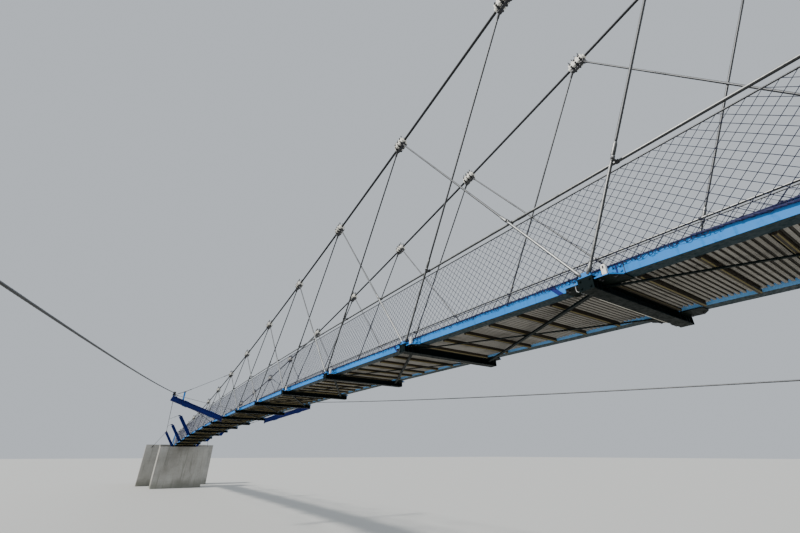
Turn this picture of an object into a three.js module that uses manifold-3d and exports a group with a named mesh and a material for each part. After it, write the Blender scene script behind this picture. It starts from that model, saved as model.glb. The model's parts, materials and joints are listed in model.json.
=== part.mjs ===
// Suspension footbridge, modelled at half its real size, in millimetres.
// +X runs along the bridge from the near bank, where the tall pylon stands, to the far bank.
// +Y is the left side and +Z is up. The origin is under the pylon, on the bridge's centreline,
// at the lowest ground. Every length here is half of the real one.
import * as THREE from "three";
import { mergeVertices } from "three/addons/utils/BufferGeometryUtils.js";
import Module from "manifold-3d";

const wasm = await Module();
wasm.setup();

// Spans and levels
const BAY = 1750;
const BAYS = 16;
const SPAN = BAY * BAYS;
const GAP = 0.3;
const DECK_NEAR_Z = 2284;
const DECK_FAR_Z = 1990;
const DECK_CAMBER = 331;
const SADDLE_NEAR_Z = 5911;
const SADDLE_FAR_Z = 2625;
const CABLE_SAG = 708;

// Side planes, measured from the centreline
const GIRDER_FACE_Y = 480;
const GIRDER_WIDTH = 90;
const CABLE_Y = 540;
const ROD_Y = { odd: 533, even: 547 };
const RAIL_Y = 503;
const STUB_END_Y = 553;

// Sections
const GIRDER_HEIGHT = 68;
const CROSSBEAM = { height: 72, width: 76, flange: 7, web: 6, drop: 56 };
const END_PLATE = { width: 84, thick: 6 };
const GUSSET = { halfLength: 165, inner: 385, outer: 545, thick: 6, chamfer: 45 };
const LOWER_BRACE = { width: 24, height: 12, y: 436, drop: 26 };
const UPPER_BRACE = { width: 16, height: 8, y: 424, drop: 14 };
const GIRDER_JOINT = { step: 7000, offset: -210, gap: 0.6 };
const DECK = { halfWidth: 378, thick: 30, overhang: 200, sections: 4 };
const JOIST = { pitch: 262.5, phase: 166.5, width: 20, depth: 27, clearance: 62 };
const MAIN_RADIUS = 12.5;
const ROD_RADIUS = 6;
const RAIL = { radius: 12, rise: 612, overhang: 255 };
const NET = { thick: 3, strand: 8, foot: 58, top: 584, cells: 2, overhang: 190 };
const CLAMP = { length: 170, width: 48, height: 56, earReach: 55, earDepth: 36, earWidth: 30 };
const CLAMP_SHIFT = { 1: 200, 2: 125, 3: 45, 4: -30, 5: -100, 6: -70 };
const LUG = { halfLength: 34, inner: 521, outer: 553, height: 37, rodReach: 23 };

// Pylon and banks
const PYLON = { footY: 720, topY: 590, width: 150, depth: 140, top: 5610 };
const CROSSHEAD = { halfLength: 690, depth: 150, height: 130 };
const NEAR_BANK = { front: 400, seat: -210, back: -1000, halfWidth: 950 };
const FAR_BANK = { front: 27600, seat: 28210, back: 28900, halfWidth: 1150 };
const FAR_SADDLE_X = 28600;
const BACKSTAY = { slope: 0.732, anchorX: -5000, front: -4700, back: -6000, halfWidth: 900 };
const FAR_ANCHOR = { front: 30000, back: 31000, halfWidth: 1750, top: 2060, cableZ: 1930 };
const SOCKET = { radius: 24, length: 220 };

// Yoke, wind cables and the leaning posts of the far bays
const YOKE_STATION = 8;
const YOKE = { rootDrop: 60, tipY: 1830, tipZ: 2845, height: 120, width: 76, flange: 8, web: 7 };
const YOKE_PLATE = { thick: 8, rise: 20, drop: 132 };
const TIP_POST = { y: 1790, width: 40, top: 2950 };
const INNER_POST = { y: 1560, width: 36, top: 3000 };
const WIND = { radius: 9, sag: 85, tipZ: 2972, nearY: 3800, nearZ: 2100, farY: 1450 };
const WIND_BLOCK = { depth: 900, halfWidth: 450, top: 2280 };
const OUTRIGGER = { stations: [12, 14, 16], footY: 596.5, footDrop: 24, topY: 1040, rise: 650, cap: 18 };
const POST_SECTION = { height: 110, width: 110, flange: 7, web: 6 };
const STAY_RADIUS = 5;
const POST = 30;

// Heights along the bridge
const mix = (a, b, t) => a + (b - a) * t;
const deckZ = (x) => {
  const t = x / SPAN;
  return mix(DECK_NEAR_Z, DECK_FAR_Z, t) + 4 * DECK_CAMBER * t * (1 - t);
};
const cableZ = (x) => {
  const t = x / SPAN;
  return mix(SADDLE_NEAR_Z, SADDLE_FAR_Z, t) - 4 * CABLE_SAG * t * (1 - t);
};
const slopeOf = (zOf, x) => (zOf(x + 1) - zOf(x - 1)) / 2;
const stationX = (station) => station * BAY;
const clampX = (station) => stationX(station) + (CLAMP_SHIFT[station] ?? 0);

// Finishes
const finish = (color, roughness, metalness) =>
  new THREE.MeshStandardMaterial({ color, roughness, metalness });
const concrete = finish(0xa8a59c, 0.9, 0);
const bluePaint = finish(0x4f9bd6, 0.45, 0);
const galvanised = finish(0xb4b8b8, 0.4, 0.8);
const wireRope = finish(0x8d9194, 0.45, 0.8);
const deckPlank = finish(0x8c867a, 0.85, 0);
const netWire = finish(0x4a4d52, 0.4, 0.8);

// Solids from three.js geometry, and back
function solidOf(geometry) {
  const bare = geometry.index ? geometry.toNonIndexed() : geometry.clone();
  bare.deleteAttribute("normal");
  bare.deleteAttribute("uv");
  const merged = mergeVertices(bare);
  const mesh = new wasm.Mesh({
    numProp: 3,
    vertProperties: merged.attributes.position.array,
    triVerts: new Uint32Array(merged.index.array),
  });
  return new wasm.Manifold(mesh);
}

function geometryOf(solid) {
  const mesh = solid.getMesh();
  const geometry = new THREE.BufferGeometry();
  geometry.setAttribute("position", new THREE.BufferAttribute(mesh.vertProperties, 3));
  geometry.setIndex(new THREE.BufferAttribute(mesh.triVerts, 1));
  geometry.computeVertexNormals();
  return geometry;
}

const joined = (pieces) => pieces.map(solidOf).reduce((all, piece) => all.add(piece));

// Shapes
function block(x0, x1, y0, y1, z0, z1) {
  const geometry = new THREE.BoxGeometry(x1 - x0, Math.abs(y1 - y0), z1 - z0);
  return geometry.translate((x0 + x1) / 2, (y0 + y1) / 2, (z0 + z1) / 2);
}

// Turns a geometry made along +X, with its height along +Z, from one point towards another.
function aimed(geometry, from, to) {
  const along = new THREE.Vector3().subVectors(to, from).normalize();
  const level = Math.abs(along.z) > 0.999 ? new THREE.Vector3(1, 0, 0) : new THREE.Vector3(0, 0, 1);
  const side = new THREE.Vector3().crossVectors(level, along).normalize();
  const rise = new THREE.Vector3().crossVectors(along, side);
  const turn = new THREE.Matrix4().makeBasis(along, side, rise).setPosition(from);
  return geometry.applyMatrix4(turn);
}

function bar(from, to, width, height) {
  const length = from.distanceTo(to);
  return aimed(new THREE.BoxGeometry(length, width, height).translate(length / 2, 0, 0), from, to);
}

function rod(from, to, radius, sides = 6) {
  const length = from.distanceTo(to);
  const cylinder = new THREE.CylinderGeometry(radius, radius, length, sides);
  return aimed(cylinder.rotateZ(-Math.PI / 2).translate(length / 2, 0, 0), from, to);
}

function outlineShape(points) {
  return new THREE.Shape(points.map(([a, b]) => new THREE.Vector2(a, b)));
}

// A side elevation, drawn in X and Z and given a width from y0 to y1.
function elevation(points, y0, y1, holes = []) {
  const shape = outlineShape(points);
  shape.holes = holes.map((hole) => new THREE.Path(outlineShape(hole).getPoints()));
  const geometry = new THREE.ExtrudeGeometry(shape, { depth: Math.abs(y1 - y0), bevelEnabled: false });
  return geometry.rotateX(Math.PI / 2).translate(0, Math.max(y0, y1), 0);
}

// An H section of a given height and flange width, running from one point to another.
function hBeam(from, to, { height, width, flange, web }) {
  const h = height / 2;
  const w = width / 2;
  const t = web / 2;
  const inner = h - flange;
  const section = outlineShape([
    [-w, -h], [w, -h], [w, -inner], [t, -inner], [t, inner], [w, inner],
    [w, h], [-w, h], [-w, inner], [-t, inner], [-t, -inner], [-w, -inner],
  ]);
  const length = from.distanceTo(to);
  const geometry = new THREE.ExtrudeGeometry(section, { depth: length, bevelEnabled: false });
  const lay = new THREE.Matrix4().makeBasis(
    new THREE.Vector3(0, 1, 0), new THREE.Vector3(0, 0, 1), new THREE.Vector3(1, 0, 0));
  return aimed(geometry.applyMatrix4(lay), from, to);
}

function tube(curve, radius, steps, sides = 8) {
  const ring = [];
  for (let i = 0; i < sides; i += 1) {
    const angle = (2 * Math.PI * i) / sides;
    ring.push([radius * Math.cos(angle), radius * Math.sin(angle)]);
  }
  const options = { steps, bevelEnabled: false, extrudePath: curve };
  return new THREE.ExtrudeGeometry(outlineShape(ring), options);
}

const at = (x, y, z) => new THREE.Vector3(x, y, z);

// A path through given points, for a cable that is swept in one piece.
class PointPath extends THREE.Curve {
  constructor(points) {
    super();
    this.points = points;
  }

  getPoint(t) {
    const place = t * (this.points.length - 1);
    const index = Math.min(Math.floor(place), this.points.length - 2);
    return this.points[index].clone().lerp(this.points[index + 1], place - index);
  }

  getTangentAt(u) {
    const index = Math.round(u * (this.points.length - 1));
    const before = this.points[Math.max(index - 1, 0)];
    const after = this.points[Math.min(index + 1, this.points.length - 1)];
    return after.clone().sub(before).normalize();
  }

  getSpacedPoints() {
    return this.points;
  }
}

const sweep = (points, radius, sides = 8) =>
  tube(new PointPath(points), radius, points.length - 1, sides);

// The exact parabola that a height function draws between two places, in a plane of constant y.
function parabola(zOf, x0, x1, y) {
  const middle = (x0 + x1) / 2;
  const control = 2 * zOf(middle) - (zOf(x0) + zOf(x1)) / 2;
  return new THREE.QuadraticBezierCurve3(at(x0, y, zOf(x0)), at(middle, y, control), at(x1, y, zOf(x1)));
}

// The bend of a cable over a saddle, between two straight runs that would meet at the corner.
function bend(from, corner, to) {
  return new THREE.QuadraticBezierCurve3(from, corner, to);
}

const bridge = new THREE.Group();
const sides = [["left", 1], ["right", -1]];

function place(name, shape, material) {
  const geometry = shape.isBufferGeometry ? shape : geometryOf(shape);
  const mesh = new THREE.Mesh(geometry, material);
  mesh.name = name;
  bridge.add(mesh);
}

// Banks
const nearSeatZ = DECK_NEAR_Z - CROSSBEAM.drop - GAP;
const farSeatZ = DECK_FAR_Z - CROSSBEAM.drop - GAP;
const pathRise = CROSSBEAM.height - CROSSBEAM.drop + DECK.thick;
const nearPathZ = DECK_NEAR_Z + pathRise;
const farPathZ = DECK_FAR_Z + pathRise;

place("near_abutment", elevation([
  [NEAR_BANK.back, 0], [NEAR_BANK.front, 0], [NEAR_BANK.front, nearSeatZ],
  [NEAR_BANK.seat, nearSeatZ], [NEAR_BANK.seat, nearPathZ], [NEAR_BANK.back, nearPathZ],
], -NEAR_BANK.halfWidth, NEAR_BANK.halfWidth), concrete);

place("far_abutment", elevation([
  [FAR_BANK.front, 0], [FAR_BANK.back, 0], [FAR_BANK.back, farPathZ],
  [FAR_BANK.seat, farPathZ], [FAR_BANK.seat, farSeatZ], [FAR_BANK.front, farSeatZ],
], -FAR_BANK.halfWidth, FAR_BANK.halfWidth), concrete);

// The backstay block's front slopes square to the cables that end on it.
const backstayAnchorZ = SADDLE_NEAR_Z + BACKSTAY.slope * BACKSTAY.anchorX;
const faceX = (z) => BACKSTAY.anchorX - (z - backstayAnchorZ) * BACKSTAY.slope;
const faceZ = (x) => backstayAnchorZ - (x - BACKSTAY.anchorX) / BACKSTAY.slope;
const backstayTop = backstayAnchorZ + 120;
place("backstay_block", elevation([
  [BACKSTAY.back, 0], [BACKSTAY.front, 0], [BACKSTAY.front, faceZ(BACKSTAY.front)],
  [faceX(backstayTop), backstayTop], [BACKSTAY.back, backstayTop],
], -BACKSTAY.halfWidth, BACKSTAY.halfWidth), concrete);

place("far_anchor_block", block(
  FAR_ANCHOR.front, FAR_ANCHOR.back, -FAR_ANCHOR.halfWidth, FAR_ANCHOR.halfWidth, 0, FAR_ANCHOR.top,
), concrete);

for (const [name, side] of sides) {
  const y = side * WIND.nearY;
  place("wind_block_" + name, block(
    -WIND_BLOCK.depth, 0, y - WIND_BLOCK.halfWidth, y + WIND_BLOCK.halfWidth, 0, WIND_BLOCK.top,
  ), concrete);
}

// Pylon
function pylonLeg(side) {
  const half = PYLON.width / 2;
  const foot = side * PYLON.footY;
  const top = side * PYLON.topY;
  const shape = outlineShape([
    [foot - half, nearSeatZ + GAP], [foot + half, nearSeatZ + GAP],
    [top + half, PYLON.top], [top - half, PYLON.top],
  ]);
  const leg = new THREE.ExtrudeGeometry(shape, { depth: PYLON.depth, bevelEnabled: false });
  const turn = new THREE.Matrix4().makeBasis(at(0, 1, 0), at(0, 0, 1), at(1, 0, 0));
  leg.applyMatrix4(turn).translate(-PYLON.depth / 2, 0, 0);
  const plate = block(-120, 120, foot - 105, foot + 105, nearSeatZ + GAP, nearSeatZ + GAP + 14);
  return joined([leg, plate]);
}

for (const [name, side] of sides) {
  place("pylon_leg_" + name, pylonLeg(side), bluePaint);
}

const crossheadZ = PYLON.top + GAP;
const crossheadTop = crossheadZ + CROSSHEAD.height;
place("pylon_crosshead", block(
  -CROSSHEAD.depth / 2, CROSSHEAD.depth / 2, -CROSSHEAD.halfLength, CROSSHEAD.halfLength,
  crossheadZ, crossheadTop,
), bluePaint);

// Main cables: backstay, bend over the pylon, main span, bend over the far saddle, tail
const NEAR_BEND = 250;
const FAR_BEND = 150;
const nearBendEnd = cableZ(NEAR_BEND);
const cornerZ = nearBendEnd - slopeOf(cableZ, NEAR_BEND) * NEAR_BEND;
const backstayZ = (x) => cornerZ + BACKSTAY.slope * x;
const farCornerZ = cableZ(FAR_SADDLE_X - FAR_BEND) + slopeOf(cableZ, FAR_SADDLE_X - FAR_BEND) * FAR_BEND;
const tailSlope = (FAR_ANCHOR.cableZ - farCornerZ) / (FAR_ANCHOR.front - FAR_SADDLE_X);
const tailZ = (x) => farCornerZ + tailSlope * (x - FAR_SADDLE_X);

const nearBendCurve = (y) => bend(
  at(-NEAR_BEND, y, backstayZ(-NEAR_BEND)), at(0, y, cornerZ), at(NEAR_BEND, y, nearBendEnd));
const farBendCurve = (y) => bend(
  at(FAR_SADDLE_X - FAR_BEND, y, cableZ(FAR_SADDLE_X - FAR_BEND)),
  at(FAR_SADDLE_X, y, farCornerZ),
  at(FAR_SADDLE_X + FAR_BEND, y, tailZ(FAR_SADDLE_X + FAR_BEND)));

// The end fitting of a cable, from its face towards a point on the cable.
function socket(face, towards, radius) {
  const inner = face.clone().lerp(towards, SOCKET.length / face.distanceTo(towards));
  return rod(face, inner, radius, 10);
}

function mainCable(y) {
  const foot = at(BACKSTAY.anchorX + GAP, y, backstayZ(BACKSTAY.anchorX + GAP));
  const tail = at(FAR_ANCHOR.front - 11, y, tailZ(FAR_ANCHOR.front - 11));
  const span = parabola(cableZ, NEAR_BEND, FAR_SADDLE_X - FAR_BEND, y).getPoints(40);
  const nearBend = nearBendCurve(y).getPoints(8);
  const farBend = farBendCurve(y).getPoints(4);
  const cableStart = foot.clone().lerp(nearBend[0], 0.01);
  const cableEnd = tail.clone().lerp(farBend[4], 0.05);
  return joined([
    socket(foot, nearBend[0], SOCKET.radius),
    sweep([cableStart, ...nearBend, ...span.slice(1), ...farBend.slice(1), cableEnd], MAIN_RADIUS),
    socket(tail, farBend[4], SOCKET.radius),
  ]);
}

// A saddle: a body whose top follows the cable's underside, between two cheeks.
function saddle(curve, y, footZ, reach, cheekRise) {
  const rail = [];
  const lip = [];
  const steps = 10;
  for (let i = 0; i <= steps; i += 1) {
    const share = mix(0.5 - reach, 0.5 + reach, i / steps);
    const point = curve.getPoint(share);
    const run = curve.getTangent(share);
    const seat = MAIN_RADIUS + 5 * GAP;
    rail.push([point.x + run.z * seat, point.z - run.x * seat]);
    lip.push([point.x, point.z + cheekRise]);
  }
  const base = (top) => [[top[steps][0], footZ], [top[0][0], footZ]];
  const cheek = 8;
  const inner = MAIN_RADIUS + 1;
  return joined([
    elevation([...rail, ...base(rail)], y - inner - cheek, y + inner + cheek),
    elevation([...lip, ...base(lip)], y - inner - cheek, y - inner),
    elevation([...lip, ...base(lip)], y + inner, y + inner + cheek),
  ]);
}

for (const [name, side] of sides) {
  const y = side * CABLE_Y;
  place("main_cable_" + name, mainCable(y), wireRope);
  place("pylon_saddle_" + name, saddle(nearBendCurve(y), y, crossheadTop + GAP, 0.3, 6), galvanised);
  place("far_saddle_" + name, saddle(farBendCurve(y), y, farPathZ + GAP, 0.4, 6), bluePaint);
}

// Crossbeams, with end plates, gusset plates and the crossing braces to the next crossbeam. Both
// braces start at the web, the lower one on the left and the upper one on the right. The two bays
// nearest the pylon have the upper one only.
function gusset(x, side, z) {
  const { halfLength, inner, outer, thick, chamfer } = GUSSET;
  const lean = new THREE.Matrix4().makeShear(0, slopeOf(deckZ, x), 0, 0, 0, 0);
  const points = [
    [x - halfLength, inner], [x + halfLength, inner], [x + halfLength, GIRDER_FACE_Y],
    [x + halfLength - chamfer, outer], [x - halfLength + chamfer, outer], [x - halfLength, GIRDER_FACE_Y],
  ].map(([a, b]) => [a, side * b]);
  const plate = new THREE.ExtrudeGeometry(outlineShape(points), { depth: thick, bevelEnabled: false });
  return plate.translate(-x, 0, -3 * GAP - thick).applyMatrix4(lean).translate(x, 0, z);
}

function outriggerPost(x, side, z) {
  const topZ = z + OUTRIGGER.rise;
  const foot = at(x, side * OUTRIGGER.footY, z - OUTRIGGER.footDrop);
  const top = at(x, side * OUTRIGGER.topY, topZ - OUTRIGGER.cap);
  const y = side * OUTRIGGER.topY;
  const cap = block(x - 62, x + 62, y - 72, y + 72, topZ - OUTRIGGER.cap, topZ);
  const bracket = block(x - 40, x + 40, side * STUB_END_Y, side * 622, z - 50, z + 8);
  return [hBeam(foot, top, POST_SECTION), cap, bracket];
}

// A brace from a crossbeam's web towards the next crossbeam, parallel to the deck.
function brace(station, side, { width, height, y, drop }, endGap) {
  const x = stationX(station);
  const next = stationX(station + 1);
  const lineZ = (place) => mix(deckZ(x), deckZ(next), (place - x) / BAY) - drop;
  const start = x + CROSSBEAM.web / 2 - 1;
  const end = next - endGap;
  return bar(at(start, side * y, lineZ(start)), at(end, -side * y, lineZ(end)), width, height);
}

function crossbeam(station) {
  const x = stationX(station);
  const z = deckZ(x);
  const axisZ = z - CROSSBEAM.drop + CROSSBEAM.height / 2;
  const pieces = [hBeam(at(x, -STUB_END_Y, axisZ), at(x, STUB_END_Y, axisZ), CROSSBEAM)];
  for (const side of [1, -1]) {
    const end = side * STUB_END_Y;
    const half = END_PLATE.width / 2;
    pieces.push(block(
      x - half, x + half, end - side, end + side * END_PLATE.thick,
      z - CROSSBEAM.drop, z - CROSSBEAM.drop + CROSSBEAM.height));
    pieces.push(gusset(x, side, z));
    if (OUTRIGGER.stations.includes(station)) {
      pieces.push(...outriggerPost(x, side, z));
    }
  }
  if (station < BAYS) {
    pieces.push(brace(station, -1, UPPER_BRACE, 12));
  }
  if (station >= 2 && station < BAYS) {
    pieces.push(brace(station, 1, LOWER_BRACE, CROSSBEAM.width / 2 + 18));
  }
  return joined(pieces);
}

for (let station = 0; station <= BAYS; station += 1) {
  const number = String(station).padStart(2, "0");
  const name = OUTRIGGER.stations.includes(station) ? "outrigger_frame_" : "crossbeam_";
  place(name + number, crossbeam(station), bluePaint);
}

// Edge girders: cambered boxes in lengths of four bays, notched over each crossbeam
const notchTop = CROSSBEAM.height - CROSSBEAM.drop + GAP;
const notchHalf = CROSSBEAM.width / 2 + GAP;
const girderEnd = 60;
const girderLengths = SPAN / GIRDER_JOINT.step;

function girderOutline(index) {
  const joint = (number) => number * GIRDER_JOINT.step + GIRDER_JOINT.offset;
  const isFirst = index === 0;
  const isLast = index === girderLengths - 1;
  const start = isFirst ? -girderEnd : joint(index) + GIRDER_JOINT.gap / 2;
  const end = isLast ? SPAN + girderEnd : joint(index + 1) - GIRDER_JOINT.gap / 2;
  const under = isFirst ? [] : [[start, deckZ(start)]];
  const over = [[start, deckZ(start) + GIRDER_HEIGHT]];
  for (let station = 0; station <= BAYS; station += 1) {
    const x = stationX(station);
    const z = deckZ(x);
    if (x > start && x < end) {
      const from = station > 0 ? x - notchHalf : start;
      const to = station < BAYS ? x + notchHalf : end;
      if (station > 0) {
        under.push([from, deckZ(from)]);
      }
      under.push([from, z + notchTop], [to, z + notchTop]);
      if (station < BAYS) {
        under.push([to, deckZ(to)]);
      }
      over.push([x, z + GIRDER_HEIGHT]);
    }
  }
  if (!isLast) {
    under.push([end, deckZ(end)]);
  }
  over.push([end, deckZ(end) + GIRDER_HEIGHT]);
  return [...under, ...over.reverse()];
}

for (const [name, side] of sides) {
  const outer = side * GIRDER_FACE_Y;
  for (let index = 0; index < girderLengths; index += 1) {
    const girder = elevation(girderOutline(index), outer, outer - side * GIRDER_WIDTH);
    place("girder_" + name + "_" + (index + 1), girder, bluePaint);
  }
}

// Deck sections of four bays, each with joists across its underside between the crossbeams
const slabZ = notchTop;

function deckSection(index) {
  const perSection = BAYS / DECK.sections;
  const firstStation = index * perSection;
  const lastStation = firstStation + perSection;
  const seam = 2;
  const under = [];
  const over = [];
  for (let station = firstStation; station <= lastStation; station += 1) {
    let x = stationX(station);
    if (station === firstStation) {
      x += index === 0 ? -DECK.overhang : seam;
    }
    if (station === lastStation) {
      x += index === DECK.sections - 1 ? DECK.overhang : -seam;
    }
    const z = deckZ(stationX(station)) + slabZ;
    if (station > firstStation) {
      under.push([stationX(station) - notchHalf, z]);
    }
    if (x !== stationX(station)) {
      under.push([x, z]);
    }
    if (station < lastStation) {
      under.push([stationX(station) + notchHalf, z]);
    }
    over.unshift([x, z + DECK.thick]);
  }
  const pieces = [elevation([...under, ...over], -DECK.halfWidth, DECK.halfWidth)];
  const lineZ = (x) => {
    const station = Math.min(Math.floor(x / BAY), BAYS - 1);
    return mix(deckZ(stationX(station)), deckZ(stationX(station + 1)), x / BAY - station);
  };
  const reach = JOIST.clearance;
  for (let x = JOIST.phase; x < SPAN; x += JOIST.pitch) {
    const away = Math.abs(x - BAY * Math.round(x / BAY));
    if (x > stationX(firstStation) && x < stationX(lastStation) && away > reach) {
      const top = lineZ(x) + slabZ + 2;
      pieces.push(block(
        x - JOIST.width / 2, x + JOIST.width / 2, -DECK.halfWidth, DECK.halfWidth, top - JOIST.depth, top));
    }
  }
  return joined(pieces);
}

for (let index = 0; index < DECK.sections; index += 1) {
  place("deck_section_" + (index + 1), deckSection(index), deckPlank);
}

// Hangers: a chain of clamps on the cable, rods and lugs on the crossbeams, for each parity
function cableClamp(station, side) {
  const x = clampX(station);
  const y = side * CABLE_Y;
  const z = cableZ(x);
  const slope = slopeOf(cableZ, x);
  const angle = Math.atan(slope);
  const body = new THREE.BoxGeometry(CLAMP.length, CLAMP.width, CLAMP.height);
  const earZ = -(CLAMP.height + CLAMP.earDepth) / 2 + 2;
  const ear = new THREE.BoxGeometry(CLAMP.length * 0.88, CLAMP.earWidth, CLAMP.earDepth);
  ear.translate(0, 0, earZ);
  const bore = new THREE.CylinderGeometry(MAIN_RADIUS + 1.3, MAIN_RADIUS + 1.3, 2 * CLAMP.length, 12);
  bore.rotateZ(Math.PI / 2);
  const solid = solidOf(body).add(solidOf(ear)).subtract(solidOf(bore));
  const geometry = geometryOf(solid);
  return geometry.rotateY(-angle).translate(x, y, z);
}

// The ends of the hanger rod from a crossbeam towards the clamp one bay on or one bay back.
function hangerEnds(station, step, y) {
  const footX = stationX(station) + step * LUG.rodReach;
  const footZ = deckZ(stationX(station)) + notchTop + LUG.height / 2;
  const earX = clampX(station + step) - step * CLAMP.earReach;
  const earZ = cableZ(earX) - CLAMP.height / 2 - CLAMP.earDepth / 2;
  return [at(footX, y, footZ), at(earX, y, earZ)];
}

const hasClamp = (station) => station >= 1 && station < BAYS;

function hangerChain(parity, side) {
  const y = side * ROD_Y[parity];
  const first = parity === "odd" ? 1 : 2;
  const pieces = [];
  const clamps = new Set();
  for (let station = first; station < BAYS; station += 2) {
    const x = stationX(station);
    const footZ = deckZ(x) + notchTop;
    pieces.push(block(
      x - LUG.halfLength, x + LUG.halfLength, side * LUG.inner, side * LUG.outer,
      footZ, footZ + LUG.height));
    for (const step of [-1, 1]) {
      if (hasClamp(station + step)) {
        clamps.add(station + step);
        pieces.push(rod(...hangerEnds(station, step, y), ROD_RADIUS));
      }
    }
  }
  for (const station of clamps) {
    pieces.push(cableClamp(station, side));
  }
  return joined(pieces);
}

for (const [name, side] of sides) {
  for (const parity of ["odd", "even"]) {
    place("hangers_" + name + "_" + parity, hangerChain(parity, side), galvanised);
  }
}

// Handrails: a tube with a bracket where each hanger rod passes, and an end post on each bank
function railBrackets(side) {
  const pieces = [];
  const railZ = (x) => deckZ(x) + RAIL.rise;
  for (let station = 1; station < BAYS; station += 1) {
    const rodY = ROD_Y[station % 2 ? "odd" : "even"];
    for (const step of [-1, 1].filter((way) => hasClamp(station + way))) {
      const [foot, ear] = hangerEnds(station, step, side * rodY);
      const share = (railZ(stationX(station)) - foot.z) / (ear.z - foot.z);
      if (share > 0.9) {
        continue;
      }
      const x = mix(foot.x, ear.x, share);
      const z = railZ(x);
      const reach = side * (rodY - ROD_RADIUS - GAP);
      pieces.push(block(x - 10, x + 10, side * RAIL_Y, reach, z - 9, z + 9));
    }
  }
  return pieces;
}

function handrail(side) {
  const y = side * RAIL_Y;
  const half = POST / 2;
  const railZ = (x) => deckZ(x) + RAIL.rise;
  const nearX = -RAIL.overhang;
  const farX = SPAN + RAIL.overhang;
  return joined([
    tube(parabola(railZ, nearX, farX, y), RAIL.radius, BAYS),
    block(nearX, nearX + POST, y - half, y + half, nearPathZ + GAP, railZ(nearX) + half),
    block(farX - POST, farX, y - half, y + half, farPathZ + GAP, railZ(farX) + half),
    ...railBrackets(side),
  ]);
}

// Nets: a thin panel outside the girder, open in large diamonds
function netHoles() {
  const holes = [];
  const pitch = BAY / NET.cells;
  const low = (x) => deckZ(x) + NET.foot;
  const high = (x) => deckZ(x) + NET.top;
  const middle = (x) => (low(x) + high(x)) / 2;
  const shrink = (points, factor) => {
    const cx = points.reduce((sum, [x]) => sum + x, 0) / points.length;
    const cz = points.reduce((sum, [, z]) => sum + z, 0) / points.length;
    return points.map(([x, z]) => [mix(cx, x, factor), mix(cz, z, factor)]);
  };
  for (let i = 0; i < BAYS * NET.cells; i += 1) {
    const x0 = i * pitch;
    const x1 = x0 + pitch;
    const xm = (x0 + x1) / 2;
    holes.push(shrink([[x0, high(x0)], [xm, middle(xm)], [x1, high(x1)]], 0.88));
    holes.push(shrink([[x0, low(x0)], [x1, low(x1)], [xm, middle(xm)]], 0.88));
    if (i > 0) {
      const xl = x0 - pitch / 2;
      holes.push(shrink([[xl, middle(xl)], [x0, low(x0)], [xm, middle(xm)], [x0, high(x0)]], 0.95));
    }
  }
  return holes;
}

function netPanel(side) {
  const low = [];
  const high = [];
  for (let station = 0; station <= BAYS; station += 1) {
    let x = stationX(station);
    if (station === 0) {
      x -= NET.overhang;
    }
    if (station === BAYS) {
      x += NET.overhang;
    }
    low.push([x, deckZ(x) + NET.foot - NET.strand]);
    high.push([x, deckZ(x) + NET.top]);
  }
  const inner = side * (GIRDER_FACE_Y + GAP);
  return elevation([...low, ...high.reverse()], inner, inner + side * NET.thick, netHoles());
}

for (const [name, side] of sides) {
  place("handrail_" + name, handrail(side), galvanised);
  place("net_" + name, netPanel(side), netWire);
}

// Yoke arms at mid-span, with a short post at the tip and another inboard of it
const yokeX = stationX(YOKE_STATION);
const yokeDeckZ = deckZ(yokeX);
const armRootY = STUB_END_Y + END_PLATE.thick + GAP;
const armZ = (y) =>
  mix(yokeDeckZ - YOKE.rootDrop, YOKE.tipZ, (y - STUB_END_Y) / (YOKE.tipY - STUB_END_Y));

function yokeArm(side) {
  const from = at(yokeX, side * (STUB_END_Y - 20), armZ(STUB_END_Y - 20));
  const to = at(yokeX, side * YOKE.tipY, YOKE.tipZ);
  const half = END_PLATE.width / 2;
  const keep = block(yokeX - 200, yokeX + 200, side * armRootY, side * 3000, 0, 4000);
  const plate = block(
    yokeX - half, yokeX + half, side * armRootY, side * (armRootY + YOKE_PLATE.thick),
    yokeDeckZ - YOKE_PLATE.drop, yokeDeckZ + YOKE_PLATE.rise);
  const pieces = [hBeam(from, to, YOKE), plate];
  for (const post of [TIP_POST, INNER_POST]) {
    const h = post.width / 2;
    const y = side * post.y;
    pieces.push(block(yokeX - h, yokeX + h, y - h, y + h, armZ(post.y), post.top));
  }
  return joined(pieces).intersect(solidOf(keep));
}

// Wind cables: near block, tip of the yoke, top of the last outrigger post, far anchor
const windFarX = stationX(BAYS);
const turnRise = 34;
const windFarZ = deckZ(windFarX) + OUTRIGGER.rise + GAP + turnRise;

function windClamp({ x, y, z }, halfHeight) {
  return block(x - 60, x + 60, y - 25, y + 25, z - halfHeight, z + halfHeight);
}

function windTie(station, side) {
  const x = stationX(station);
  const topZ = deckZ(x) + OUTRIGGER.rise + GAP;
  const share = (x - yokeX) / (windFarX - yokeX);
  const cable = at(x, side * mix(TIP_POST.y, OUTRIGGER.topY, share), mix(WIND.tipZ, windFarZ, share));
  const eye = at(x, side * (OUTRIGGER.topY + 66), topZ + 14);
  return [
    rod(eye, cable, STAY_RADIUS),
    block(
      x - 20, x + 20, side * (OUTRIGGER.topY - 10), side * (OUTRIGGER.topY + 72), topZ, topZ + 28),
  ];
}

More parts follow.
